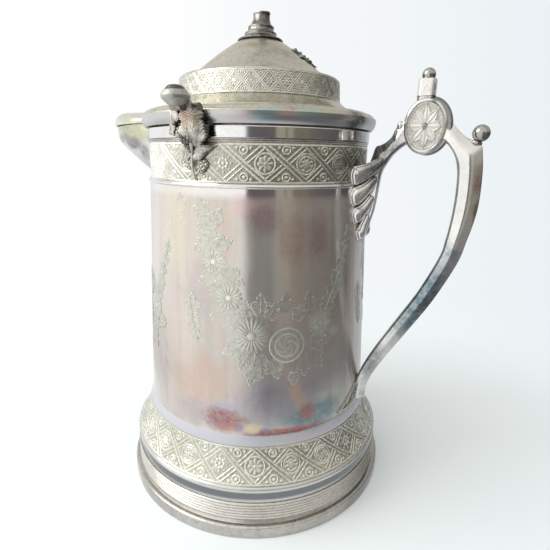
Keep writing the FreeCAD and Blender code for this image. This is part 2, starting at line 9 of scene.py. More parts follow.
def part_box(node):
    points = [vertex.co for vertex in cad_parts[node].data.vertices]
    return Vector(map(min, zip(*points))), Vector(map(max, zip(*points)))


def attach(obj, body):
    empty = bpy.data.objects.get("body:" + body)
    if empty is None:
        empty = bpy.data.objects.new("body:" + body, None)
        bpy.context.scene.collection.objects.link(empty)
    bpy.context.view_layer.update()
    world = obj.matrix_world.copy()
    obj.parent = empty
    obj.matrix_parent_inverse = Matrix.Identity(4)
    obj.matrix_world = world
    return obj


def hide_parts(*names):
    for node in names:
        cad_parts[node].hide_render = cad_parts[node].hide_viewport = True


# The looks of a plated ice-water pitcher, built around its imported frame.
# Lengths are in millimetres of the row frame unless a name says otherwise, and turns are in
# degrees about +Z from +X, the side of the handle. MM brings a length to Blender's metres.

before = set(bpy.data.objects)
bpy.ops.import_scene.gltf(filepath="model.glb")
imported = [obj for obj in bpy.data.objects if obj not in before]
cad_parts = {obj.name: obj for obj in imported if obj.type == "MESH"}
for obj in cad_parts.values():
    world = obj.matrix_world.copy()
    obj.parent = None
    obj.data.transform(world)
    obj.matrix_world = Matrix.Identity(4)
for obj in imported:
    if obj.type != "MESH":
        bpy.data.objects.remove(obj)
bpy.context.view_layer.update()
MM = 0.001
chance = np.random.default_rng(7)


# ---- sizes taken from the frame
def reach(node):
    """Outer radius of a turned node."""
    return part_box(node)[1].x / MM


def low(node):
    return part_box(node)[0].z / MM


def top(node):
    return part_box(node)[1].z / MM


FOOT_R = reach("foot_ring")
BASE_R = reach("base_plate")
REED_R = reach("reeded_band")
SKIRT_LOW_R = reach("foot_skirt")
SKIRT_TOP_R = reach("body_jacket")
BODY_LOW_R = SKIRT_TOP_R - 1.7
BODY_TOP_R = reach("band_lower_moulding") - 0.9
BAND_R = reach("upper_band")
NECK_R = BAND_R - 1.0
COLLAR_R = reach("collar_ring")
LID_R = reach("lid_shell")
DRUM_R = reach("lid_band")
FINIAL_R = reach("finial")

Z_FOOT = top("foot_ring")
Z_REED = top("reeded_band")
Z_SKIRT = top("foot_moulding")
Z_BEVEL = top("foot_skirt")
Z_BODY = Z_BEVEL + 7.1
Z_BAND = low("upper_band")
Z_BAND_TOP = low("band_upper_bead")
Z_SHOULDER = Z_BAND - 2.0
Z_COLLAR = low("collar_ring")
Z_MOUTH = top("collar_ring")
Z_LID = low("lid_shell")
Z_DRUM = low("lid_band")
Z_DRUM_TOP = top("lid_band")
Z_STRIP = Z_DRUM - 1.3
CONE_R = 40.4
Z_CONE = Z_DRUM_TOP + 6.3
CONE_MIDDLE = (26.4, Z_DRUM_TOP + 17.3)
Z_SEAT = low("finial") + 7.2
Z_TIP = top("finial")
Z_KNOB = top("thumb_knob") - 1.8
HINGE_TURN = -90.0


def body_r(z):
    """Outside radius of the drum at a height."""
    return BODY_LOW_R + (BODY_TOP_R - BODY_LOW_R) * (z - Z_BODY) / (Z_SHOULDER - Z_BODY)


# ---- outlines
def outline(*steps, bend=8):
    """Points of a line in the (r, z) plane. A step is a point, or a (middle, end) pair for a curve."""
    points = [np.array(steps[0], float)]
    for step in steps[1:]:
        if np.ndim(step) == 1:
            points.append(np.array(step, float))
            continue
        start, middle, end = points[-1], np.array(step[0], float), np.array(step[1], float)
        for t in np.arange(1, bend + 1) / bend:
            points.append(start * (1 - t) * (1 - 2 * t) + middle * 4 * t * (1 - t) + end * t * (2 * t - 1))
    return np.array(points)


def normals(points, closed):
    """Outward normals of a counter-clockwise outline."""
    if closed:
        along = np.roll(points, -1, 0) - np.roll(points, 1, 0)
    else:
        along = np.gradient(points, axis=0)
    along /= np.linalg.norm(along, axis=1)[:, None]
    return np.stack([along[:, 1], -along[:, 0]], 1)


def shell(points, thickness):
    """Closed section of a sheet: its outer line runs upwards, and the thickness goes inwards."""
    return np.concatenate([points, (points - normals(points, False) * thickness)[::-1]])


def eased(points, radius, sharp=25.0):
    """Closed outline with rounded corners, and short flats beside each that hold the shading."""
    result = []
    for before, here, after in zip(np.roll(points, 1, 0), points, np.roll(points, -1, 0)):
        back, ahead = before - here, after - here
        long_back, long_ahead = np.linalg.norm(back), np.linalg.norm(ahead)
        turn = math.degrees(math.acos(np.clip(-(back @ ahead) / (long_back * long_ahead), -1, 1)))
        if turn < sharp:
            result.append(here)
            continue
        back, ahead = back / long_back, ahead / long_ahead
        cut = min(radius, 0.3 * long_back, 0.3 * long_ahead)
        start, end = here + back * cut, here + ahead * cut
        result += [here + back * 1.5 * cut, start, (start + end + 2 * here) / 4, end,
                   here + ahead * 1.5 * cut]
    return np.array(result)


def through(stations, count):
    """Smooth run of count points through a list of stations (Catmull-Rom)."""
    knots = np.array(stations, float)
    padded = np.concatenate([[2 * knots[0] - knots[1]], knots, [2 * knots[-1] - knots[-2]]])
    place = np.linspace(0, len(knots) - 1, count)
    index = np.minimum(place.astype(int), len(knots) - 2)
    t = (place - index)[:, None]
    a, b, c, d = (padded[index + step] for step in range(4))
    return 0.5 * (2 * b + (c - a) * t + (2 * a - 5 * b + 4 * c - d) * t ** 2
                  + (3 * b - a - 3 * c + d) * t ** 3)


# ---- meshes
def polar(radius, turns, z):
    """Points from radii, turns in radians and heights."""
    return np.stack(np.broadcast_arrays(radius * np.cos(turns), radius * np.sin(turns), z), -1)


def make(name, part, body, material, hard=40.0):
    """New smooth-shaded piece on a body. A part is its points in mm, its faces, and a relief from
    0 to 1 for each point."""
    points, faces, relief = part
    mesh = bpy.data.meshes.new(name)
    mesh.from_pydata((np.asarray(points, float) * MM).tolist(), [], faces)
    mesh.attributes.new("relief", "FLOAT", "POINT").data.foreach_set("value", np.ravel(relief))
    work = bmesh.new()
    work.from_mesh(mesh)
    bmesh.ops.remove_doubles(work, verts=work.verts, dist=1e-7)
    bmesh.ops.recalc_face_normals(work, faces=work.faces)
    work.to_mesh(mesh)
    work.free()
    mesh.shade_smooth()
    mesh.set_sharp_from_angle(angle=math.radians(hard))
    piece = bpy.data.objects.new(name, mesh)
    bpy.context.scene.collection.objects.link(piece)
    mesh.materials.append(material)
    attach(piece, body)
    return piece


def joined(parts):
    """One (points, faces, relief) from many."""
    points, faces, relief, count = [], [], [], 0
    for part_points, part_faces, part_relief in parts:
        points.append(part_points)
        faces += [[index + count for index in face] for face in part_faces]
        relief.append(np.broadcast_to(part_relief, len(part_points)))
        count += len(part_points)
    return np.concatenate(points), faces, np.concatenate(relief)


def grid_faces(rows, columns, close_rows, close_columns):
    """Quads of a grid of points numbered row by row."""
    faces = []
    for row in range(rows if close_rows else rows - 1):
        here, there = row * columns, (row + 1) % rows * columns
        for column in range(columns if close_columns else columns - 1):
            after = (column + 1) % columns
            faces.append([here + column, there + column, there + after, here + after])
    return faces


def capped(rows, columns):
    """Faces of a bar made of closed rings of points, with one face over each end."""
    last = (rows - 1) * columns
    ends = [list(range(columns)), list(range(last, last + columns))]
    return grid_faces(rows, columns, False, True) + ends


def seam(base, columns):
    """Faces across the edge of a folded sheet, whose ring of points starts at base."""
    last = base + 2 * columns - 1
    return [[base + index, base + index + 1, last - index - 1, last - index] for index in range(columns - 1)]


def spin(section, columns=360, lift=None, relief=0.5, solid=False):
    """Turned solid from a section in (r, z). lift raises each point along the section's normal.
    A solid one has a section that starts and ends on the axis."""
    turns = 2 * np.pi * np.arange(columns)[:, None] / columns
    place = np.broadcast_to(section, (columns,) + section.shape)
    if lift is not None:
        place = place + normals(section, not solid) * lift[:, :, None]
    radius, z = place[:, :, 0], place[:, :, 1]
    shades = np.broadcast_to(relief, radius.shape).reshape(-1)
    return polar(radius, turns, z).reshape(-1, 3), grid_faces(columns, len(section), True, not solid), shades


def put(part, matrix):
    """A part moved by a matrix whose lengths are in millimetres."""
    points, faces, relief = part
    turned = points @ np.array(matrix.to_3x3()).T + np.array(matrix.translation)
    return turned, faces, relief


def tube(spine, up, width, depth, section, relief=0.5):
    """Limb: a closed section (side, up) carried along a spine, with a flat cap over each end."""
    tangent = np.gradient(spine, axis=0)
    tangent /= np.linalg.norm(tangent, axis=1)[:, None]
    side = np.cross(tangent, np.broadcast_to(up, spine.shape))
    side /= np.linalg.norm(side, axis=1)[:, None]
    lift = np.cross(side, tangent)
    width, depth = (np.broadcast_to(size, len(spine)) for size in (width, depth))
    rings = (spine[:, None] + side[:, None] * (section[None, :, 0] * width[:, None])[..., None]
             + lift[:, None] * (section[None, :, 1] * depth[:, None])[..., None])
    points = rings.reshape(-1, 3)
    around = len(section)
    faces = grid_faces(len(spine), around, False, True)
    ends = len(points)
    points = np.concatenate([points, spine[:1], spine[-1:]])
    last = ends - around
    for index in range(around):
        after = (index + 1) % around
        faces += [[ends, index, after], [ends + 1, last + after, last + index]]
    return points, faces, np.broadcast_to(relief, len(points))


def round_section(count=12):
    turns = 2 * np.pi * np.arange(count) / count
    return np.stack([np.cos(turns), np.sin(turns)], 1) / 2


def patch(turn, z, lean, edge, height, skin, spokes=72, rings=10, root=0.6):
    """Low relief, star shaped about a point on a surface of revolution. edge(angle) is the
    outline's distance from the point and height(share, angle) its rise; lean turns it."""
    angle = 2 * np.pi * np.arange(spokes) / spokes
    share = np.concatenate([(np.arange(rings) + 1) / rings, [1.0]])
    distance = edge(angle)[None, :] * share[:, None]
    rise = height(np.clip(share, 0, 1)[:, None], angle[None, :]) + np.zeros_like(distance)
    rise[-1] = -root
    heading = angle + math.radians(lean)
    side, up = distance * np.cos(heading), distance * np.sin(heading)
    side = np.concatenate([side.ravel(), [0.0, 0.0]])
    up = np.concatenate([up.ravel(), [0.0, 0.0]])
    middle = float(np.mean(height(np.zeros((1, 1)), angle[None, :])))
    rise = np.concatenate([rise.ravel(), [middle, -root]])
    surface = skin(z + up)
    turns = math.radians(turn) + side / surface
    points = polar(surface + rise, turns, z + up)
    faces = grid_faces(rings + 1, spokes, False, True)
    hub, under = (rings + 1) * spokes, (rings + 1) * spokes + 1
    for index in range(spokes):
        after = (index + 1) % spokes
        faces += [[hub, index, after], [under, rings * spokes + after, rings * spokes + index]]
    shade = np.clip(rise / max(rise.max(), 0.1), 0, 1)
    return points, faces, shade


def replace(node, part, material, body="pitcher", hard=40.0):
    """The part stands for a CAD node."""
    piece = make(node + "_look", part, body, material, hard)
    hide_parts(node)


# ---- rolled pattern
def line(distance, width):
    """Height from 0 to 1 of a raised line of a width, at a distance from its middle."""
    return np.clip(1.3 - np.abs(distance) / width * 1.3, 0, 1)


def flower(distance, angle):
    petals = np.abs(np.cos(4 * angle)) ** 0.6
    return (line(distance - 5.6, 0.5) + petals * (distance > 0.9) * (distance < 2.2 + 2.2 * petals) * 0.85
            + (distance < 0.8) * 1.0)


def from_eight(distance, angle, radius):
    """Distance from the nearest of eight points set evenly on a circle."""
    folded = (angle + np.pi / 8) % (np.pi / 4) - np.pi / 8
    return np.hypot(distance * np.cos(folded) - radius, distance * np.sin(folded))


def wheel(distance, angle):
    hole = from_eight(distance, angle, 3.1)
    disc = (distance < 4.5) * (hole > 0.85) * 0.8
    return line(distance - 5.7, 0.4) + disc + (distance < 1.0) * 0.2


def dots(distance, angle):
    inner = from_eight(distance, angle, 2.5) < 0.75
    outer = from_eight(distance, angle, 4.6) < 0.6
    return inner * 0.9 + outer * 0.7 + (distance < 0.8) * 0.9


def strokes(distance, angle):
    rays = (np.abs(np.cos(5 * angle)) > 0.75) * (distance > 1.2) * (distance < 3.6)
    return line(distance - 5.3, 0.5) + line(distance - 4.0, 0.35) + rays * 0.7 + (distance < 0.8) * 0.9


ROSETTES = (flower, wheel, strokes, dots)


def lattice(cell, across, pitch, height, lines=(-1.15, 1.15)):
    """Relief from 0 to 1 of crossed bars with a rosette in every diamond. cell counts pitches
    along the band from a rosette's centre, and across is measured from the band's middle."""
    scale = 1 / math.hypot(1 / pitch, 1 / height)
    falling, rising = (cell + side * across / height - 0.5 for side in (1, -1))
    falling = (falling - np.round(falling)) * scale
    rising = (rising - np.round(rising)) * scale
    edge = max(lines) + 0.4
    over, under = np.abs(falling) < edge, np.abs(rising) < edge
    result = sum(line(falling - place, 0.42) for place in lines)
    result = result + sum(line(rising - place, 0.42) for place in lines) * ~over
    number = np.round(cell).astype(int)
    x = (cell - number) * pitch
    size = height / 20.0
    distance, angle = np.hypot(x, across) / size, np.arctan2(across, x)
    clear = ~over & ~under
    for kind, rosette in enumerate(ROSETTES):
        result = result + rosette(distance, angle) * (number % len(ROSETTES) == kind) * clear
    corner_x = (cell - np.floor(cell) - 0.5) * pitch / size
    corner_z = (np.abs(across) - height / 2) / size + 2.6
    corner = np.hypot(corner_x, corner_z)
    scroll = line(corner - 2.2, 0.5) + (corner < 0.8)
    for side in (-1, 1):
        scroll = scroll + (np.hypot(corner_x + side * 4.0, corner_z - 1.2) < 0.8) * 0.8
    return result + scroll * clear * (distance > 6.2)


def patterned(skin, thickness, repeats, first, columns, rows, depth, border=1.3, lines=(-1.15, 1.15)):
    """Ring with the rolled pattern on its outer face. skin is the outer line, running upwards."""
    steps = np.linalg.norm(np.diff(skin, axis=0), axis=1)
    along = np.concatenate([[0], np.cumsum(steps)])
    place = np.linspace(0, along[-1], rows)
    outer = np.stack([np.interp(place, along, skin[:, axis]) for axis in (0, 1)], 1)
    behind = np.linspace(rows - 1, 0, 8).astype(int)
    inner = outer[behind] - normals(outer, False)[behind] * thickness
    section = np.concatenate([outer, inner])
    turns = 360.0 * np.arange(columns) / columns
    cell = ((turns - first) / 360.0 * repeats)[:, None] + np.zeros((1, rows))
    length = along[-1]
    across = (place - length / 2)[None, :] + np.zeros((columns, 1))
    inside = length / 2 - np.abs(across) > border
    pitch = 2 * np.pi * np.mean(skin[:, 0]) / repeats
    mark = np.clip(lattice(cell, across, pitch, length - 2 * border, lines), 0, 1) * inside
    mark = np.maximum(mark, line(length / 2 - np.abs(across) - border * 0.75, 0.4))
    grain = chance.random((columns, rows)) * (mark < 0.3) * 0.28
    mark = np.clip(mark + grain, 0, 1)
    mark[:, [0, -1]] = 0
    flat = np.zeros((columns, len(behind)))
    lift = np.concatenate([mark * depth, flat], 1)
    return spin(section, columns, lift, relief=np.concatenate([mark, flat], 1))


# ---- shaders
def node(tree, kind, inputs=(), **settings):
    """New shader node. An input that is a socket is linked, and any other is a value."""
    made = tree.nodes.new("ShaderNode" + kind)
    for key, value in settings.items():
        setattr(made, key, value)
    for slot, value in dict(inputs).items():
        if isinstance(value, bpy.types.NodeSocket):
            tree.links.new(value, made.inputs[slot])
        else:
            made.inputs[slot].default_value = value
    return made


def sums(tree, operation, first, second=0.0):
    return node(tree, "Math", {0: first, 1: second}, operation=operation).outputs[0]


def between(tree, first, second, share):
    """Number that goes from the first to the second as share goes from 0 to 1."""
    return node(tree, "Mix", {0: share, 2: first, 3: second}).outputs[0]


def blend(tree, share, under, over):
    """Colour mix; under and over are sockets or (r, g, b)."""
    colours = [c if isinstance(c, bpy.types.NodeSocket) else (*c, 1.0) for c in (under, over)]
    return node(tree, "Mix", {0: share, 6: colours[0], 7: colours[1]}, data_type="RGBA").outputs[2]


def ramp(tree, share, stops, smooth=True):
    """Colour ramp from (place, (r, g, b)) stops."""
    made = node(tree, "ValToRGB", {0: share})
    made.color_ramp.interpolation = "EASE" if smooth else "LINEAR"
    elements = made.color_ramp.elements
    while len(elements) < len(stops):
        elements.new(0.5)
    for element, (place, colour) in zip(elements, stops):
        element.position = place
        element.color = (*colour, 1.0)
    return made.outputs[0]


def span(tree, value, low_in, high_in, low_out=0.0, high_out=1.0):
    made = node(tree, "MapRange", {0: value, 1: low_in, 2: high_in, 3: low_out, 4: high_out},
                interpolation_type="SMOOTHSTEP")
    return made.outputs[0]


def stretched(tree, scale):
    """Object coordinates in metres, scaled along each axis."""
    place = node(tree, "TexCoord").outputs["Object"]
    return node(tree, "Mapping", {"Vector": place, "Scale": scale}).outputs[0]


def noise(tree, scale, detail=3.0, rough=0.55, place=None, twist=0.0):
    place = place or node(tree, "TexCoord").outputs["Object"]
    made = node(tree, "TexNoise", {"Vector": place, "Scale": scale, "Detail": detail,
                                   "Roughness": rough, "Distortion": twist})
    return made.outputs[0]


def ragged_patch(tree, spot, size):
    """Share from 0 to 1 of a ragged patch, from its middle and its half sizes in mm."""
    edge = 0.55
    place = node(tree, "TexCoord").outputs["Object"]
    away = node(tree, "VectorMath", {0: place, 1: [c * MM for c in spot]}, operation="SUBTRACT").outputs[0]
    shrunk = node(tree, "VectorMath", {0: away, 1: [1 / (c * MM) for c in size]},
                  operation="MULTIPLY").outputs[0]
    distance = node(tree, "VectorMath", {0: shrunk}, operation="LENGTH").outputs["Value"]
    grain = 1100.0 / (min(size) + 4.0)
    ragged = sums(tree, "ADD", distance, sums(tree, "MULTIPLY", noise(tree, grain, 6.0, 0.75), edge * 2))
    speckle = span(tree, noise(tree, 260.0, 5.0, 0.8), 0.38, 0.62, 0.6, 1.0)
    return sums(tree, "MULTIPLY", span(tree, ragged, 1.0 + edge, 0.3 + edge), speckle)


def metal(name, tones, rough=(0.2, 0.35), metallic=1.0, patch_scale=9.0, grain=0.25, streak=0.0,
          relief=None, pits=0.15, hair=0.3, stains_and_painted_light=(), zones=(), tarnish=()):
    """Plated metal. tones run from dull to bright; relief is a (ground, ridge) pair of colours;
    stains_and_painted_light are (spot, half sizes, colour, strength) patches in the row frame, of tarnish,
    painted shade and painted highlight; zones are (z from, z to, colour, roughness, metallic), full beyond
    the second height; tarnish is a run of colours in upright streaks; hair is the share of fine rings in the
    wear."""
    material = bpy.data.materials.new(name)
    material.use_nodes = True
    tree = material.node_tree
    tree.nodes.clear()
    cloud = noise(tree, patch_scale, 4.0, 0.6, twist=0.6)
    stops = [(0.32 + 0.36 * index / max(len(tones) - 1, 1), tone) for index, tone in enumerate(tones)]
    colour = ramp(tree, cloud, stops)
    fine = noise(tree, 420.0, 4.0, 0.7)
    dirt = sums(tree, "MULTIPLY", span(tree, fine, 0.42, 0.66), grain)
    colour = blend(tree, dirt, colour, (0.12, 0.11, 0.10))
    if streak:
        lines = noise(tree, 1.0, 3.0, 0.6, stretched(tree, (130.0, 130.0, 5.0)))
        dark = sums(tree, "MULTIPLY", span(tree, lines, 0.42, 0.7), streak)
        colour = blend(tree, dark, colour, (0.16, 0.13, 0.13))
    if tarnish:
        drift = noise(tree, 1.0, 4.0, 0.6, stretched(tree, (34.0, 34.0, 7.0)), 0.8)
        stops = [(0.3 + 0.4 * index / (len(tarnish) - 1), tint) for index, tint in enumerate(tarnish)]
        colour = blend(tree, 0.42, colour, ramp(tree, drift, stops))
    if relief:
        mark = node(tree, "Attribute", attribute_name="relief").outputs["Fac"]
        colour = blend(tree, span(tree, mark, 0.0, 0.35, 0.75, 0.0), colour, relief[0])
        colour = blend(tree, span(tree, mark, 0.55, 1.0, 0.0, 0.7), colour, relief[1])
    scratch = noise(tree, 1.0, 2.0, 0.5, stretched(tree, (60.0, 60.0, 1500.0)))
    roughness = span(tree, between(tree, cloud, scratch, hair), 0.35, 0.65, *rough)
    z = node(tree, "SeparateXYZ", {0: node(tree, "TexCoord").outputs["Object"]}).outputs[2]
    polish = metallic
    for start, full, tint, rubbed, shine in zones:
        zone = span(tree, z, start * MM, full * MM)
        colour = blend(tree, zone, colour, tint)
        roughness = between(tree, roughness, rubbed, zone)
        polish = between(tree, polish, shine, zone)
    # patches of tarnish, painted shade and painted highlight over the colour
    for spot, size, tint, strength in stains_and_painted_light:
        share = sums(tree, "MULTIPLY", ragged_patch(tree, spot, size), strength)
        colour = blend(tree, share, colour, tint)
    bump = node(tree, "Bump", {"Strength": pits, "Distance": 0.0004,
                               "Height": between(tree, fine, scratch, hair)}).outputs[0]
    surface = node(tree, "BsdfPrincipled", {"Base Color": colour, "Metallic": polish,
                                            "Roughness": roughness, "Normal": bump})
    output = node(tree, "OutputMaterial", {0: surface.outputs[0]})
    output.is_active_output = True
    return material


CHAMPAGNE = [(0.38, 0.35, 0.32), (0.52, 0.49, 0.46), (0.60, 0.57, 0.54)]
SILVER = [(0.50, 0.50, 0.49), (0.66, 0.66, 0.65), (0.78, 0.78, 0.78)]
FOOT_SHADE = ((94, -2, 14), (70, 66, 60), (0.28, 0.27, 0.26), 0.9)      # painted shade on the side by the handle
foot_plate = metal("foot_plate", CHAMPAGNE, (0.14, 0.26), streak=0.1, pits=0.06, hair=0.0,
                   stains_and_painted_light=(FOOT_SHADE,))
bright_plate = metal("bright_plate", SILVER, (0.05, 0.12), grain=0.1, pits=0.03, stains_and_painted_light=(
    # painted dark reflection on the collar's right side, towards the handle
    ((73, -14, Z_MOUTH - 3), (12, 26, 12), (0.22, 0.21, 0.20), 0.9),
))
moulding_plate = metal("moulding_plate", [(0.44, 0.44, 0.43), (0.62, 0.62, 0.61)], (0.08, 0.18), grain=0.1,
                       pits=0.03, stains_and_painted_light=(FOOT_SHADE,),
                       # the dark band over the middle of the moulding is a painted dark reflection; above it
                       # the top bead is given a light tone again
                       zones=((Z_REED + 1.4, Z_REED + 3.6, (0.20, 0.20, 0.21), 0.14, 0.9),
                              (Z_SKIRT - 4.2, Z_SKIRT - 3.4, (0.60, 0.60, 0.58), 0.12, 1.0)))
# the relief colours paint shade into the grooves between the reeds and light onto their crests
reeded_plate = metal("reeded_plate", [(0.48, 0.46, 0.42), (0.62, 0.60, 0.56)], (0.18, 0.3),
                     relief=((0.10, 0.09, 0.07), (0.72, 0.70, 0.66)), pits=0.1, stains_and_painted_light=(FOOT_SHADE,))
skirt_plate = metal("skirt_plate", [(0.58, 0.58, 0.50), (0.76, 0.76, 0.68)], (0.26, 0.38), 0.85,
                    relief=((0.30, 0.30, 0.24), (0.94, 0.94, 0.86)), pits=0.25)
pattern_plate = metal("pattern_plate", [(0.50, 0.50, 0.43), (0.66, 0.66, 0.59)], (0.24, 0.36), 0.9,
                      relief=((0.22, 0.22, 0.17), (0.88, 0.88, 0.81)), pits=0.25, stains_and_painted_light=(
                          # painted shade on the band's right side, towards the handle
                          ((74, -14, 231), (16, 30, 20), (0.17, 0.16, 0.13), 0.85),
                          # painted highlight over the band's left side, towards the window
                          ((-56, -50, 231), (60, 50, 50), (0.98, 0.98, 0.93), 1.0),
                          # painted shade on the right side of the lid's band
                          ((53, -10, 276), (12, 26, 12), (0.22, 0.21, 0.17), 0.7),
                      ))
lid_plate = metal("lid_plate", [(0.34, 0.32, 0.24), (0.54, 0.51, 0.43), (0.60, 0.58, 0.50)],
                  (0.22, 0.36), 0.9, patch_scale=34.0, pits=0.15, hair=0.1,
                  # painted shade: the rim below its crest is set a flat grey
                  zones=((Z_LID + 6.6, Z_LID + 5.8, (0.50, 0.50, 0.50), 0.28, 0.95),),
                  stains_and_painted_light=(
                      ((4, -20, Z_CONE + 10), (14, 9, 6), (0.22, 0.18, 0.11), 0.8),
                      ((-6, -22, Z_CONE + 7), (7, 7, 4), (0.20, 0.17, 0.10), 0.7),
                      ((18, -12, Z_CONE + 11), (10, 10, 8), (0.50, 0.36, 0.29), 0.6),
                      # painted highlight on the lid's shoulder by the handle
                      ((66, -2, Z_LID + 11), (8, 8, 4), (0.95, 0.93, 0.88), 1.0),
                      ((41, -68, Z_LID + 4), (13, 12, 6), (0.34, 0.50, 0.52), 0.9),
                      ((29, -74, Z_LID + 3), (7, 7, 5), (0.56, 0.44, 0.46), 0.6),
                      ((58, -52, Z_LID + 5), (10, 10, 5), (0.40, 0.56, 0.56), 0.7),
                      ((48, -62, Z_LID + 4), (8, 8, 5), (0.60, 0.42, 0.46), 0.6),
                      # painted dark reflection on the rim's right side
                      ((75, -22, Z_LID + 4), (11, 13, 9), (0.09, 0.08, 0.08), 1.0),
                      # painted shade beside the handle
                      ((73, 9, Z_LID + 10), (9, 20, 5), (0.15, 0.14, 0.13), 0.9),
                  ))
# dark finish that paints the shade on the medallion's back ridge
painted_shade_plate = metal("painted_shade_plate", [(0.16, 0.16, 0.16), (0.28, 0.28, 0.28)], (0.2, 0.3), patch_scale=60.0)
ball_plate = metal("ball_plate", [(0.34, 0.34, 0.31), (0.46, 0.46, 0.43)], (0.1, 0.2), patch_scale=60.0)
cast_plate = metal("cast_plate", [(0.62, 0.62, 0.61), (0.72, 0.72, 0.71), (0.80, 0.80, 0.78)],
                   (0.07, 0.18), 0.86, patch_scale=30.0, grain=0.08, pits=0.05, hair=0.0, stains_and_painted_light=(
                       # painted dark bluish reflection over the lower grip
                       ((120, -5, 138), (26, 10, 78), (0.12, 0.20, 0.23), 1.0),
                       # painted shade low on the grip, near its foot
                       ((92, -5, 95), (14, 8, 26), (0.18, 0.17, 0.19), 0.9),
                       # painted shade on the upper arm's near face
                       ((88, -8, 236), (26, 22, 26), (0.15, 0.155, 0.15), 0.95),
                       # painted shade on the block's right side
                       ((114.6, 0, 273), (4, 20, 14), (0.05, 0.05, 0.05), 1.0),
                       ((142, 0, 222), (4, 5, 12), (0.40, 0.19, 0.18), 0.9),
                       ((144, 0, 205), (4, 5, 12), (0.22, 0.21, 0.12), 0.9),
                   ))
dark_plate = metal("dark_plate", [(0.10, 0.10, 0.09), (0.22, 0.21, 0.20), (0.42, 0.41, 0.38)], (0.18, 0.34),
                   patch_scale=110.0, grain=0.5, pits=0.35)
grape_plate = metal("grape_plate", [(0.14, 0.14, 0.12), (0.26, 0.26, 0.23)], (0.3, 0.42), 0.85,
                    patch_scale=60.0, stains_and_painted_light=(((-7, -84, 245), (4, 6, 9), (0.60, 0.60, 0.56), 1.0),))
ornament_plate = metal("ornament_plate", [(0.30, 0.29, 0.25), (0.46, 0.45, 0.40)], (0.34, 0.5), 0.85,
                       relief=((0.08, 0.07, 0.05), (0.80, 0.78, 0.74)), pits=0.3, stains_and_painted_light=(
                           ((4, -86, 253), (9, 6, 7), (0.46, 0.34, 0.26), 0.8),
                       ))
medal_plate = metal("medal_plate", [(0.58, 0.57, 0.53), (0.72, 0.71, 0.67)], (0.5, 0.62), 0.4,
                    relief=((0.42, 0.41, 0.38), (0.86, 0.85, 0.82)), pits=0.3)
engraved_plate = metal("engraved_plate", [(0.34, 0.34, 0.32), (0.50, 0.50, 0.48)], (0.2, 0.34),
                       relief=((0.07, 0.07, 0.06), (0.66, 0.66, 0.64)), pits=0.2)
knob_plate = metal("knob_plate", [(0.36, 0.36, 0.32), (0.50, 0.50, 0.45)], (0.32, 0.46), 0.8,
                   patch_scale=60.0, streak=0.1, pits=0.25,
                   zones=((Z_KNOB - 1.1, Z_KNOB - 0.9, (0.10, 0.10, 0.10), 0.3, 0.9),))
# the olive-yellow tones paint a warm reflection on the spout's cheeks; lower down the zone turns it a neutral
# grey, and the stains paint the shade under the belly
spout_plate = metal("spout_plate", [(0.34, 0.34, 0.22), (0.50, 0.50, 0.38), (0.66, 0.66, 0.54)], (0.08, 0.18),
                    patch_scale=26.0, pits=0.06, hair=0.0,
                    zones=((Z_MOUTH - 2, Z_MOUTH - 10, (0.60, 0.61, 0.62), 0.14, 1.0),),
                    stains_and_painted_light=(
                        ((-114, -16, 246), (15, 14, 5), (0.26, 0.26, 0.26), 0.9),
                        ((-100, -18, 242), (15, 14, 6.5), (0.20, 0.20, 0.20), 0.95),
                        ((-89, -18, 236), (9, 14, 8), (0.22, 0.23, 0.23), 0.9),
                    ))
flap_plate = metal("flap_plate", [(0.46, 0.46, 0.34), (0.70, 0.70, 0.60), (0.84, 0.84, 0.78)], (0.1, 0.2),
                   patch_scale=30.0, pits=0.06, hair=0.0)
inner_plate = metal("inner_plate", [(0.50, 0.49, 0.46), (0.62, 0.61, 0.58)], (0.3, 0.45))
pin_steel = metal("pin_steel", [(0.16, 0.15, 0.14), (0.30, 0.29, 0.27)], (0.25, 0.4))
chased_plate = metal("chased_plate", [(0.50, 0.50, 0.45), (0.62, 0.63, 0.57)], (0.26, 0.4), 0.8,
                     relief=((0.50, 0.50, 0.45), (0.86, 0.87, 0.78)), pits=0.25)


def on_drum(turn, z, out=0.0):
    """Point of the drum's surface, in mm."""
    radius = body_r(z) + out
    return (radius * math.cos(math.radians(turn)), radius * math.sin(math.radians(turn)), z)


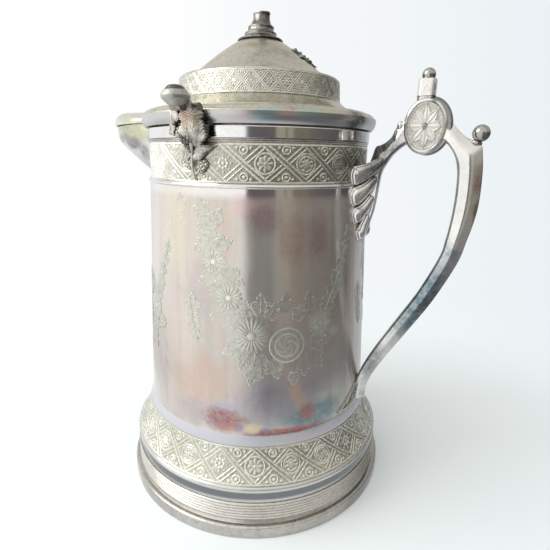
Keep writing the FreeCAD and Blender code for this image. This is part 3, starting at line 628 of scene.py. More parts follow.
CAMERA_SIDE = -62.0      # turn of the camera about the pitcher, so seen turns are measured from it
TARNISH_AND_SHADE = (
    # turn from the camera's side, height, half width, half height, colour, strength
    # the first row is painted shade over the drum's right side
    (25, 140, 45, 70, (0.42, 0.37, 0.34), 0.5),
    (8, 88, 40, 20, (0.35, 0.35, 0.43), 0.7),
    (-26, 97, 32, 26, (0.54, 0.42, 0.36), 0.8),
    (-24, 76, 34, 12, (0.42, 0.39, 0.43), 0.7),
    (-27, 158, 11, 26, (0.44, 0.40, 0.42), 0.6),
    (-18, 192, 16, 24, (0.56, 0.44, 0.37), 0.7),
    (-42, 190, 18, 40, (0.68, 0.64, 0.50), 0.6),
    (-5, 207, 16, 10, (0.66, 0.48, 0.48), 0.8),
    (2, 200, 14, 12, (0.34, 0.24, 0.26), 0.7),
    (3, 170, 12, 34, (0.44, 0.51, 0.50), 0.6),
    (15, 190, 13, 24, (0.40, 0.26, 0.25), 0.6),
    (27, 190, 10, 20, (0.38, 0.24, 0.23), 0.6),
    (27, 73, 36, 13, (0.13, 0.25, 0.28), 0.9),
    (-15.5, 74, 19, 11, (0.30, 0.10, 0.12), 0.9),
    (-12, 69.0, 12, 4, (0.50, 0.26, 0.20), 0.6),
    (12, 66.0, 36, 3.2, (0.40, 0.12, 0.13), 0.9),
    (-2.5, 69, 9, 5, (0.80, 0.66, 0.42), 0.8),
    (-8, 69.5, 4, 4, (0.20, 0.22, 0.38), 0.6),
    (3, 67.5, 5, 3, (0.20, 0.16, 0.36), 0.6),
    (-13, 83.5, 13, 2.4, (0.40, 0.46, 0.62), 0.8),
    (16.5, 94, 6, 10, (0.72, 0.54, 0.42), 0.9),
    (20, 86, 6, 9, (0.64, 0.47, 0.38), 0.9),
    (23, 77, 8, 9, (0.42, 0.20, 0.17), 0.95),
)
drum_plate = metal(
    "drum_plate", [(0.44, 0.40, 0.38), (0.60, 0.56, 0.52), (0.70, 0.67, 0.63)], (0.12, 0.25), 0.7,
    patch_scale=11.0, grain=0.06, streak=0.28, pits=0.03, hair=0.0,
    tarnish=((0.40, 0.34, 0.36), (0.56, 0.55, 0.50), (0.62, 0.52, 0.49), (0.50, 0.53, 0.52),
             (0.52, 0.44, 0.38)),
    zones=((Z_SHOULDER - 8, Z_SHOULDER - 2.5, (0.70, 0.67, 0.67), 0.09, 1.0),
           (Z_BODY + 0.4, Z_BODY - 1.0, (0.54, 0.54, 0.60), 0.4, 0.35)),
    stains_and_painted_light=[(on_drum(CAMERA_SIDE + turn, z), (wide, wide, tall), tint, strength)
            for turn, z, wide, tall, tint, strength in TARNISH_AND_SHADE])


# ---- foot
SEAT_R = BASE_R + 1.0


def foot():
    ring = outline((BASE_R, 0), (FOOT_R, 0), (FOOT_R, Z_FOOT - 1.6),
                   ((FOOT_R - 0.5, Z_FOOT - 0.5), (FOOT_R - 1.8, Z_FOOT)), (BASE_R, Z_FOOT))
    replace("foot_ring", spin(eased(ring, 0.5)), foot_plate)

    reeds, root = 6, REED_R - 1.1
    plain = (Z_REED - Z_FOOT) * 0.17
    pitch = (Z_REED - Z_FOOT - plain) / reeds
    steps = [(SEAT_R, Z_FOOT), (REED_R, Z_FOOT), ((REED_R - 0.6, Z_FOOT + plain / 2), (root, Z_FOOT + plain))]
    for reed in range(reeds):
        base = Z_FOOT + plain + reed * pitch
        steps.append(((REED_R, base + pitch / 2), (root, base + pitch)))
    steps += [(root, Z_REED), (SEAT_R, Z_REED)]
    line_points = outline(*steps, bend=6)
    # crests sets the painted shade in the grooves and the painted light on the crests
    crests = np.clip((line_points[:, 0] - root) / (REED_R - root), 0, 1)
    replace("reeded_band", spin(line_points, relief=crests), reeded_plate)

    edge = SKIRT_LOW_R + 0.3
    moulding = outline((SEAT_R, Z_REED), (REED_R - 1.2, Z_REED), (REED_R - 1.2, Z_REED + 0.8),
                       ((REED_R - 0.9, Z_REED + 4.6), (edge + 0.3, Z_SKIRT - 2.2)),
                       (edge - 0.2, Z_SKIRT - 2.0),
                       ((edge + 0.7, Z_SKIRT - 1.1), (edge - 0.2, Z_SKIRT - 0.2)),
                       (edge - 0.4, Z_SKIRT), (SEAT_R, Z_SKIRT))
    replace("foot_moulding", spin(eased(moulding, 0.15)), moulding_plate)

    skin = outline((SKIRT_LOW_R, Z_SKIRT), ((87.8, Z_SKIRT + 10.4), (SKIRT_TOP_R, Z_BEVEL)), bend=16)
    ring = patterned(skin, 0.9, 24, CAMERA_SIDE - 0.9, 1470, 62, 0.4)
    replace("foot_skirt", ring, skirt_plate)


# ---- drum and bands
def drum():
    rows = 70
    wall = np.stack([np.linspace(BODY_LOW_R, BODY_TOP_R, rows), np.linspace(Z_BODY, Z_SHOULDER, rows)], 1)
    outer = np.concatenate([outline((SKIRT_TOP_R, Z_BEVEL + 0.1), (SKIRT_TOP_R, Z_BEVEL + 0.8)),
                            wall[:1] + (0.15, -0.5), wall,
                            outline((NECK_R, Z_BAND), (NECK_R, Z_COLLAR))])
    section = shell(outer, 1.0)
    columns = 360
    turns = np.radians(np.arange(columns))[:, None]
    z = section[None, :, 1] / 30.0
    waves = (0.10 * np.sin(3 * turns + z) + 0.06 * np.sin(7 * turns - 1.7 * z)
             + 0.05 * np.sin(11 * turns + 2.3 * z))
    calm = np.clip((section[:, 1] - Z_BODY) / 12, 0, 1) * np.clip((Z_SHOULDER - section[:, 1]) / 12, 0, 1)
    calm[len(outer):] = 0
    part = spin(section, columns, waves * calm[None, :])
    replace("body_jacket", part, drum_plate)


def bands():
    low_line = outline((NECK_R, Z_SHOULDER - 0.6), (BODY_TOP_R - 0.2, Z_SHOULDER - 0.6),
                       ((BODY_TOP_R + 0.9, Z_SHOULDER + 0.4), (BODY_TOP_R + 0.3, Z_BAND)),
                       (NECK_R, Z_BAND))
    replace("band_lower_moulding", spin(low_line), bright_plate)

    skin = outline((BAND_R, Z_BAND), (BAND_R, Z_BAND_TOP))
    ring = patterned(skin, 0.9, 20, CAMERA_SIDE + 2.5, 1334, 62, 0.4)
    replace("upper_band", ring, pattern_plate)

    middle = (Z_BAND_TOP + Z_COLLAR) / 2
    bead = outline((NECK_R, Z_BAND_TOP), (BAND_R, Z_BAND_TOP),
                   ((BAND_R + 0.6, (Z_BAND_TOP + middle) / 2), (BAND_R, middle)),
                   ((BAND_R + 0.6, (Z_COLLAR + middle) / 2), (BAND_R, Z_COLLAR)),
                   (NECK_R, Z_COLLAR), bend=6)
    replace("band_upper_bead", spin(bead), foot_plate)

    bore = COLLAR_R - 4.9
    collar = outline((bore, Z_COLLAR), (COLLAR_R, Z_COLLAR), (COLLAR_R, Z_MOUTH), (bore, Z_MOUTH))
    replace("collar_ring", spin(eased(collar, 0.4)), bright_plate)


# ---- lid
def lid():
    drum_low, drum_top = DRUM_R - 0.6, DRUM_R - 1.5
    outer = outline((LID_R - 2.3, Z_LID), ((LID_R - 0.5, Z_LID + 2.8), (LID_R, Z_LID + 5.6)),
                    ((LID_R - 0.1, Z_LID + 6.8), (LID_R - 0.9, Z_LID + 7.4)),
                    ((LID_R - 3.2, Z_LID + 9.4), (LID_R - 6.2, Z_LID + 10.3)),
                    (LID_R - 6.5, Z_LID + 10.7),
                    ((62.9, Z_LID + 12.4), (drum_low + 1.9, Z_STRIP - 0.9)), (drum_low + 1.1, Z_STRIP - 0.1),
                    (drum_low, Z_STRIP),
                    (drum_top, Z_DRUM_TOP + 0.4),
                    ((drum_top - 0.5, Z_DRUM_TOP + 1.3), (51.0, Z_DRUM_TOP + 1.7)),
                    (CONE_R + 3.6, Z_CONE - 2.6), ((CONE_R + 1.4, Z_CONE - 1.0), (CONE_R, Z_CONE)),
                    (CONE_MIDDLE, (FINIAL_R - 2.4, Z_SEAT + 0.1)), bend=10)
    replace("lid_shell", spin(shell(outer, 0.9)), lid_plate, "lid")

    skin = outline((DRUM_R - 0.1, Z_STRIP), (DRUM_R - 0.9, Z_DRUM_TOP + 0.4))
    ring = patterned(skin, 0.5, 34, CAMERA_SIDE - 5, 1340, 48, 0.22, 0.8, (-0.55, 0.55))
    replace("lid_band", ring, pattern_plate, "lid")


def finial():
    seat = Z_SEAT - 0.5
    tip = Z_TIP - 1.3
    section = outline((0, seat), (FINIAL_R, seat),
                      ((FINIAL_R + 0.1, seat + 0.7), (FINIAL_R - 0.6, seat + 1.2)),
                      ((11.6, seat + 2.4), (10.4, seat + 4.0)), ((10.5, seat + 4.9), (9.6, seat + 5.4)),
                      ((8.6, seat + 6.4), (8.5, seat + 8.0)), ((8.4, seat + 8.9), (7.4, seat + 9.3)),
                      ((6.1, seat + 11.4), (5.4, seat + 13.9)), ((5.3, seat + 15.5), (5.6, tip - 0.8)),
                      ((5.3, tip - 0.1), (4.2, tip)), (3.4, tip - 0.7), (0, tip - 0.9))
    columns = 96
    turns = 2 * np.pi * np.arange(columns) / columns
    high = np.clip((section[:, 1] - tip + 8) / 8, 0, 1)
    lift = (np.cos(2 * turns + 0.6)[:, None] * 0.35 + np.cos(5 * turns)[:, None] * 0.12) * high[None, :]
    points, faces, relief = spin(section, columns, lift, solid=True)
    lean = 0.055 * (points[:, 2] - seat)
    points = points + np.stack([lean * 0.88, lean * 0.47, np.zeros(len(points))], 1)
    replace("finial", (points, faces, relief), dark_plate, "lid")


def thumb_knob():
    lowest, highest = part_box("thumb_knob")
    centre = (lowest + highest) / 2 / MM
    base, tall = lowest.z / MM - 1.0, (highest.z - lowest.z) / MM + 0.9
    wide = 7.5
    section = outline((0, 0), (2.9, 0), ((4.9, 0.14 * tall), (wide - 0.7, 0.3 * tall)),
                      ((wide, 0.47 * tall), (wide - 0.8, 0.62 * tall)),
                      ((6.1, 0.71 * tall), (5.1, 0.79 * tall)),
                      (5.0, 0.8 * tall), ((3.4, 0.95 * tall), (0, tall)), bend=8)
    part = put(spin(section, 96, solid=True), Matrix.Translation((centre.x, centre.y, base)))
    replace("thumb_knob", part, knob_plate, "lid")


# ---- handle
MEDAL = (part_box("medallion_near")[0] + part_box("medallion_near")[1]) / 2 / MM
MEDAL_A = 12.4
MEDAL_B = 16.0
GRIP = (
    # x, z on the outer edge, x, z on the inner edge, and width
    (119.0, 259.0, 117.0, 246.6, 6.6), (123.0, 256.2, 121.6, 244.6, 7.0), (126.2, 253.4, 124.0, 242.5, 7.8),
    (129.0, 250.5, 126.0, 240.2, 8.4), (132.0, 247.8, 127.6, 237.8, 9.0), (135.6, 245.5, 128.8, 235.4, 9.6),
    (139.6, 244.2, 129.6, 233.2, 10.0), (142.0, 242.4, 130.2, 231.0, 10.2),
    (143.2, 236.8, 130.8, 228.0, 10.4), (144.2, 229.5, 131.2, 224.0, 10.4),
    (144.8, 216.6, 131.5, 214.8, 10.4), (144.5, 206.4, 131.2, 205.4, 10.4),
    (143.2, 196.9, 130.5, 196.4, 10.4), (141.2, 187.6, 129.4, 188.0, 10.4),
    (137.6, 172.8, 127.0, 176.2, 10.2),
    (126.3, 147.1, 116.7, 151.9, 10.0), (112.7, 123.0, 103.7, 128.0, 9.6), (99.8, 100.8, 91.4, 105.2, 9.2),
    (92.4, 86.4, 84.4, 89.6, 9.0), (88.6, 75.3, 80.6, 76.7, 9.0), (88.2, 66.5, 79.4, 66.5, 9.6),
)
ARM = (
    # the same for the upper arm, whose outer edge is the one towards the drum
    (100.0, 257.6, 104.5, 245.0, 6.4), (95.6, 254.6, 100.0, 242.2, 7.0), (93.0, 250.8, 97.6, 240.6, 7.6),
    (91.6, 247.2, 95.6, 238.8, 8.0), (88.8, 244.2, 93.2, 236.4, 8.6), (85.6, 242.3, 91.4, 233.8, 9.2),
    (82.4, 241.0, 89.6, 230.8, 9.6), (80.8, 236.4, 87.8, 227.4, 8.6), (79.2, 231.0, 86.8, 223.6, 6.6),
    (77.4, 223.0, 86.2, 217.5, 5.0), (76.5, 214.0, 85.5, 210.4, 4.4), (76.2, 204.0, 84.2, 201.5, 4.0),
    (76.2, 194.0, 81.8, 192.4, 3.4), (76.4, 183.6, 79.2, 183.0, 2.4),
)


def faceted_section():
    """Section of a limb from its inner edge (-0.5) to its outer edge: flat sides, then a ridge."""
    half = [(0.0, -0.5), (0.32, -0.5), (0.5, -0.38), (0.5, 0.0), (0.42, 0.14), (0.12, 0.46), (0.06, 0.5),
            (0.0, 0.5)]
    mirrored = [(-side, up) for side, up in half[-2:0:-1]]
    return eased(np.array(half + mirrored), 0.05, 12.0)


def limb(stations, count):
    """Cast limb between its two edges in the plane of the handle."""
    run = through(stations, count)
    section = faceted_section()
    share = section[None, :, 1] + 0.5
    x = run[:, 0:1] * share + run[:, 2:3] * (1 - share)
    z = run[:, 1:2] * share + run[:, 3:4] * (1 - share)
    points = np.stack([x, run[:, 4:5] * section[None, :, 0], z], 2).reshape(-1, 3)
    return points, capped(count, len(section)), np.full(len(points), 0.5)


def oval_disc(a, b, outline_half, columns=96, aside=0.0):
    """Solid oval in the plane of the handle. outline_half is (share, y) points, from the middle
    of the near face over the rim to the middle of the far face."""
    points = []
    turns = 2 * np.pi * np.arange(columns) / columns
    for share, y in outline_half:
        points.append(np.stack([MEDAL.x + aside + a * share * np.cos(turns), np.full(columns, y),
                                MEDAL.z + b * share * np.sin(turns)], 1))
    faces = grid_faces(len(outline_half), columns, False, True)
    return np.concatenate(points), faces, np.full(columns * len(outline_half), 0.5)


def handle():
    half = 4.2
    frame_line = [(0.001, -half + 1.0), (0.80, -half + 1.0), (0.83, -half - 0.1), (0.87, -half - 0.5),
                  (0.92, -half - 0.3), (0.97, -half + 0.6), (1.0, -half + 1.8)]
    frame_line += [(share, -y) for share, y in reversed(frame_line)]
    parts = [limb(GRIP, 260), limb(ARM, 160), oval_disc(MEDAL_A, MEDAL_B, frame_line)]
    ridge = [(0.001, -3.2), (0.93, -3.2), (0.98, -2.2), (1.0, 0), (0.98, 2.2), (0.93, 3.2), (0.001, 3.2)]
    turns = np.radians(np.linspace(-90, 90, 17))
    nub = spin(np.stack([np.abs(1.9 * np.cos(turns)), 2.8 * np.sin(turns)], 1), 32, solid=True)
    parts.append(put(nub, Matrix.Translation((MEDAL.x - 14.4, -1.0, MEDAL.z + 0.4))))
    back = oval_disc(MEDAL_A + 0.8, MEDAL_B + 0.5, ridge, aside=1.8)
    # the back ridge carries painted shade
    make("medallion_back", back, "pitcher", painted_shade_plate)
    replace("handle", joined(parts), cast_plate, hard=38)


def medallion(side, node_name):
    """Oval plate with eight pointed petals and a button, on one face of the medallion."""
    columns, rings = 240, 44
    turns = 2 * np.pi * np.arange(columns) / columns
    share = np.linspace(0.001, 1, rings)[:, None]
    petal = np.abs(((turns / (np.pi / 4)) + 0.5) % 1 - 0.5) * 2
    half_wide = 3.5 * np.sin(np.pi * np.clip((share - 0.1) / 0.76, 0, 1)) ** 0.85
    aside = petal[None, :] * (np.pi / 8) * share * MEDAL_A
    leaf = np.clip(1 - aside / np.maximum(half_wide, 0.01), 0, 1)
    fold = 0.55 + 0.45 * np.clip(np.abs(leaf - 0.62) / 0.38, 0, 1)
    button = np.clip(1 - (share / 0.1) ** 2, 0, 1) ** 0.5
    ground = chance.random((rings, columns)) * 0.2
    rim = line(share - 0.93, 0.05) * 0.45
    rise = np.maximum(np.clip(leaf * 4, 0, 1) * fold, button * 1.1) * 0.9 + (ground + rim) * (leaf < 0.05)
    rise[-1] = 0
    y = side * (3.5 + rise)
    x = MEDAL.x + (MEDAL_A - 2.3) * share * np.cos(turns)
    z = MEDAL.z + (MEDAL_B - 2.3) * share * np.sin(turns)
    face = np.stack([x, y, z], 2).reshape(-1, 3)
    back = face[-columns:] * (1, 0, 1) + (0, side * 2.6, 0)
    points = np.concatenate([face, back])
    shade = np.concatenate([np.clip(rise, 0, 1).ravel(), np.zeros(columns)])
    replace(node_name, (points, capped(rings + 1, columns), shade), medal_plate)


def ball(name, centre, radius, towards):
    """Ball with a short collar where it meets its seat, set along a direction."""
    section = outline((0, -1.25 * radius), (0.62 * radius, -1.25 * radius), (0.62 * radius, -radius * 0.98),
                      (0.5 * radius, -0.92 * radius), (0.42 * radius, -0.9 * radius))
    turns = np.radians(np.linspace(-64, 90, 24))
    sphere = np.stack([radius * np.cos(turns), radius * np.sin(turns)], 1)
    section = np.concatenate([section, sphere])
    section[-1, 0] = 0
    turn = Vector((0, 0, 1)).rotation_difference(Vector(towards)).to_matrix().to_4x4()
    part = put(spin(section, 64, solid=True), Matrix.Translation(centre) @ turn)
    replace(name, part, ball_plate)


def handle_trim():
    """Square block above the medallion, its ball, and the ball on the grip's shoulder."""
    centre_x, cap, half_x, half_y, chamfer = MEDAL.x - 1.4, MEDAL.z + 25.8, 4.9, 5.0, 1.7
    corners = [(across * (half_x - chamfer * near), deep * (half_y - chamfer * (1 - near)))
               for across, deep, near in ((-1, -1, 0), (-1, -1, 1), (1, -1, 1), (1, -1, 0),
                                          (1, 1, 0), (1, 1, 1), (-1, 1, 1), (-1, 1, 0))]
    square = eased(np.array(corners), 0.3)
    bottom = MEDAL.z + MEDAL_B - 2.5
    levels = ((bottom, 1.0, 0.66), (bottom + 2.4, 1.0, 0.66), (bottom + 2.9, 1.08, 1.0),
              (bottom + 3.5, 1.0, 0.94), (cap - 0.9, 1.0, 0.94), (cap - 0.35, 0.97, 0.9), (cap, 0.86, 0.8))
    points = [np.stack([centre_x + square[:, 0] * wide, square[:, 1] * deep, np.full(len(square), z)], 1)
              for z, wide, deep in levels]
    count = len(square)
    block = (np.concatenate(points), capped(len(levels), count), np.full(count * len(levels), 0.5))
    mark = []
    for start, end in (((-2.4, -1.8), (2.4, -1.8)), ((2.4, -1.8), (0, 2.4)), ((0, 2.4), (-2.4, -1.8))):
        ends = np.array([(centre_x + 0.8 * x, -half_y * 0.94, cap - 5.2 + 0.8 * z) for x, z in (start, end)])
        mark.append(tube(ends, (0, -1, 0), 0.6, 0.5, round_section(8), 0.5))
    replace("handle_block", joined([block] + mark), cast_plate)
    ball("handle_top_ball", (centre_x + 0.2, 0, cap + 2.1), 3.8, (0, 0, 1))
    ball("handle_outer_ball", (140.7, 0, 248.8), 4.8, (0.3, 0, 0.95))


def swept(points, count):
    """Smooth spine through (turn, z, height above the drum) points."""
    run = through(points, count)
    turns = np.radians(run[:, 0])
    radius = body_r(run[:, 1]) + run[:, 2]
    return polar(radius, turns, run[:, 1]), polar(1.0, turns, 0.0)


def drop(points, wide, tall, relief):
    """Drop-shaped lobe: a round bulb at the first point that thins towards the last."""
    count = 40
    spine, out = swept(points, count)
    share = np.linspace(0, 1, count)
    bulb = np.sqrt(np.clip(1 - (1 - np.clip(share / 0.36, 0, 1)) ** 2, 0.01, 1))
    taper = bulb * (1 - 0.5 * share ** 2)
    return tube(spine, out, wide * taper, tall * taper, round_section(20), relief)


def root_leaf():
    """Overlapping polished lobes that run down from the upper arm on both sides."""
    lobes = (
        # turn and z of the bulb, of the middle and of the thin end, and the bulb's height
        ((-12.2, 223.6), (-6.8, 227.0), (-1.5, 233.0), 11.8),
        ((-12.2, 211.2), (-6.6, 214.6), (-1.4, 221.0), 11.4),
        ((-10.4, 199.4), (-5.6, 202.6), (-1.2, 209.5), 10.2),
        ((-5.4, 187.4), (-3.6, 191.0), (-1.0, 198.0), 8.0),
    )
    edge_z, edge_x = np.array(ARM)[::-1, 3], np.array(ARM)[::-1, 2]
    parts = []
    for side in (-1, 1):
        for bulb, middle, end, wide in lobes:
            away = np.interp(end[1], edge_z, edge_x) - body_r(end[1]) - 2.6
            line_points = [(side * (bulb[0] - 1.6), bulb[1] - 0.6, 0.4), (side * bulb[0] * 0.9, bulb[1], 1.8),
                           (side * middle[0], middle[1], 0.55 * away), (side * end[0], end[1], away)]
            parts.append(drop(line_points, wide, 6.0, 0.9))
            under = [(turn, z - 0.2, out - 1.3) for turn, z, out in line_points]
            parts.append(drop(under, wide + 1.8, 4.6, 0.1))
    replace("handle_root_leaf", joined(parts), cast_plate)


def polygon(corners):
    """Edge function of a star-shaped outline given by its corners about the origin."""
    ends = np.array(corners, float)

    def edge(angle):
        ray = np.stack([np.cos(angle), np.sin(angle)], -1)
        result = np.full(len(angle), 0.0)
        for start, end in zip(ends, np.roll(ends, -1, 0)):
            side = end - start
            cross = ray[:, 0] * side[1] - ray[:, 1] * side[0]
            safe = np.where(np.abs(cross) < 1e-9, 1e-9, cross)
            away = (start[0] * side[1] - start[1] * side[0]) / safe
            along = (start[0] * ray[:, 1] - start[1] * ray[:, 0]) / safe
            hit = (away > 0) & (along >= -1e-9) & (along <= 1 + 1e-9)
            result = np.where(hit, np.maximum(result, away), result)
        return result
    return edge


def foot_plate_piece():
    """Three-cornered engraved plate at the lower end of the handle."""
    middle_z = 71.0

    def rise(share, angle):
        veins = np.clip(np.abs(np.sin(9 * angle + 14 * share)) * 2 - 1.2, 0, 1)
        return 0.5 + 0.8 * np.clip((share - 0.84) / 0.06, 0, 1) + 0.5 * veins * (share < 0.8)
    edge = polygon([(-31, -4.5), (31, -4.5), (7, 8.5), (-7, 8.5)])
    part = patch(0, middle_z, 0, edge, rise, body_r, 360, 36)
    replace("handle_foot_plate", part, engraved_plate)


# ---- hinge ornament
def saw(angle, teeth):
    """Wave of small teeth from 0 to 1; teeth counts those in half a turn."""
    return np.abs((angle * teeth / np.pi) % 1 - 0.5) * 2


def vine_edge(size):
    """Outline of a five-lobed leaf whose tip points along angle 0."""
    def edge(angle):
        lobes = np.abs(np.cos(2.5 * angle)) ** 1.2
        notch = 1 - 0.5 * np.exp(-((np.abs(angle - np.pi)) / 0.3) ** 2)
        return size * (0.62 + 0.38 * lobes + 0.1 * saw(angle, 15)) * notch
    return edge


def leaf_edge(size, core, lobe, tip, narrow, teeth, bite):
    """Outline of a leaf with shallow lobes, a tip along angle 0 and small teeth."""
    def edge(angle):
        ahead = np.exp(-(np.abs((angle + np.pi) % (2 * np.pi) - np.pi) / narrow) ** 2)
        return size * (core + lobe * np.abs(np.cos(2.5 * angle)) + tip * ahead + bite * saw(angle, teeth))
    return edge


def ivy_edge(size):
    return leaf_edge(size, 0.70, 0.14, 0.22, 0.35, 13, 0.09)


def toothed_edge(size):
    return leaf_edge(size, 0.54, 0.24, 0.30, 0.40, 8, 0.12)


def vine_rise(height, curl):
    """Veined leaf with hollows between its lobes and a lifted rim."""
    depth = 0.45

    def rise(share, angle):
        vein = np.exp(-((np.sin(2.5 * angle) ** 2) * (share * 6 + 0.3) ** 2 / 3.0))
        branches = np.abs(np.sin(10 * angle + 9 * share)) ** 6 * (share > 0.25) * 0.35
        return height * (1 - 0.3 * share ** 2) + vein * depth + branches * depth + curl * share ** 4
    return rise


def pointed_edge(long, wide):
    """Outline of a simple pointed leaf along angle 0."""
    power = 1.35

    def edge(angle):
        across = np.abs(np.sin(angle)) * long / wide
        away = long / 2 / (np.abs(np.cos(angle)) ** power + across ** power) ** (1 / power)
        return away * (1 + 0.05 * saw(angle, 12))
    return edge


def pointed_rise(height, fold):
    """Leaf with a midrib and side veins; fold lifts it away from the midrib."""
    def rise(share, angle):
        across = np.abs(share * np.sin(angle))
        rib = np.exp(-(across / 0.06) ** 2) * 0.4
        veins = np.abs(np.sin(11 * share * np.cos(angle) + 12 * across)) ** 5 * 0.25 * (across > 0.08)
        return height * (1 - 0.55 * share ** 3) + rib + veins + fold * across
    return rise


def daisy_edge(size, petals):
    return lambda angle: size * (0.84 + 0.16 * np.abs(np.cos(petals * angle / 2)) ** 0.6)


def daisy_rise(height, petals):
    def rise(share, angle):
        petal = np.abs(np.cos(petals * angle / 2)) ** 0.5
        button = np.clip(1 - (share / 0.26) ** 2, 0, 1) ** 0.5
        flower_rise = 0.35 + 0.65 * petal * np.clip(4 * (1 - share), 0, 1) * (share > 0.25)
        return height * flower_rise + height * button
    return rise


def along_x(x, radius=81.0):
    """Turn of a point of the hinge side, x along the tangent."""
    return HINGE_TURN + math.degrees(x / radius)


def ornament():
    """Cast vine that hides the hinge's foot: leaves, a stem, a curled bract and small blossoms."""
    def sloping(z):
        return 76.4 + 8.0 * np.clip((z - 238) / 8, 0, 1)

    def low_skin(z):
        return np.full_like(z, BAND_R + 0.8)

    def ears(z):
        return np.full_like(z, 85.4)

    parts = [
        patch(along_x(3.6), 252.8, 20, ivy_edge(6.6), pointed_rise(0.9, 0.7), ears, 120, 16, 1.6),
        patch(along_x(2.6), 257.6, 80, pointed_edge(9.0, 6.0), pointed_rise(0.8, 0.4), ears, 90, 12, 1.6),
        patch(along_x(-6.6), 254.6, 120, ivy_edge(5.6), pointed_rise(0.8, 0.3), ears, 120, 16, 1.6),
        patch(along_x(4.4), 246.8, 262, ivy_edge(8.2), pointed_rise(0.9, 1.5), sloping, 120, 16, 1.2),
        patch(along_x(6.0), 247.4, 75, pointed_edge(14.0, 6.0), pointed_rise(2.0, 0.9), sloping, 90, 12, 1.2),
        patch(along_x(-9.6), 248.4, 215, ivy_edge(4.8), pointed_rise(0.8, 0.3), sloping, 120, 16, 1.2),
        patch(along_x(-6.4), 236.6, 250, pointed_edge(14.0, 7.0), pointed_rise(0.5, 0.3), low_skin, 90, 12),
        patch(along_x(5.0), 237.4, 12, pointed_edge(13.5, 4.6), pointed_rise(2.2, 1.8), low_skin, 90, 12),
        patch(along_x(2.9), 234.2, 24, pointed_edge(9.6, 5.0), pointed_rise(2.6, 1.0), low_skin, 90, 12),
        patch(along_x(3.6), 226.8, 0, daisy_edge(2.6, 5), daisy_rise(1.3, 5), low_skin, 80, 10),
        patch(along_x(5.6), 229.4, 0, daisy_edge(3.0, 5), daisy_rise(1.5, 5), low_skin, 80, 10),
        patch(along_x(-5.2), 229.0, 130, daisy_edge(2.6, 5), daisy_rise(0.9, 5), low_skin, 60, 8),
    ]
    stem = through([(0.8, 241, 6.0), (-1.4, 236, 2.6), (-2.0, 231, 2.0), (-1.8, 226, 1.8),
                    (-0.8, 220.6, 0.8)], 40)
    turns = np.radians([along_x(x) for x in stem[:, 0]])
    thick = np.linspace(2.0, 0.9, len(stem))
    spine = polar(BAND_R + stem[:, 2], turns, stem[:, 1])
    parts.append(tube(spine, polar(1.0, turns, 0.0), thick, thick, round_section(), 0.8))
    points, faces, relief = joined(parts)
    # beside the hinge and above the band, the leaves lie up to 3.6 mm closer to the collar
    far = np.clip((np.abs(points[:, 0]) - 7.0) / 5.0, 0, 1) * np.clip((points[:, 2] - 243.0) / 3.0, 0, 1)
    radius = np.hypot(points[:, 0], points[:, 1])
    points[:, :2] *= (1 - 3.6 * far / radius)[:, None]
    replace("vine_leaf", (points, faces, relief), ornament_plate)


def grapes():
    """Bunch of round grapes, widest near its top."""
    parts = []
    rows = (3, 4, 5, 5, 4, 3, 2, 1)
    pitch, radius = 1.9, 1.25
    turns = np.radians(np.linspace(-90, 90, 9))
    section = np.stack([np.abs(radius * np.cos(turns)), radius * np.sin(turns)], 1)
    for row, count in enumerate(rows):
        for column in range(count):
            x = (column - (count - 1) / 2) * pitch - 2.2 + chance.normal() * 0.15
            z = 247.6 - row * 1.62 + chance.normal() * 0.15
            bulge = 1.2 * (1 - ((column - (count - 1) / 2) / 2.8) ** 2)
            away = 76.2 + 6.6 * min(max((z - 238) / 7, 0), 1) + bulge
            turn = math.radians(along_x(x))
            place = Matrix.Translation((away * math.cos(turn), away * math.sin(turn), z))
            points, faces, _ = put(spin(section, 14, solid=True), place)
            parts.append((points, faces, 0.7))
    replace("grape_cluster", joined(parts), grape_plate)


def chased_rise(share, angle):
    """Leaf in low relief: a bright rim, a midrib and side veins."""
    along, across = share * np.cos(angle), np.abs(share * np.sin(angle))
    rib = np.exp(-(across / 0.05) ** 2) * (along > -0.9)
    veins = np.abs(np.sin(9 * along - 9 * across)) ** 6 * (across > 0.06)
    return 0.08 + 0.12 * line(share - 0.9, 0.1) + 0.10 * rib + 0.07 * veins


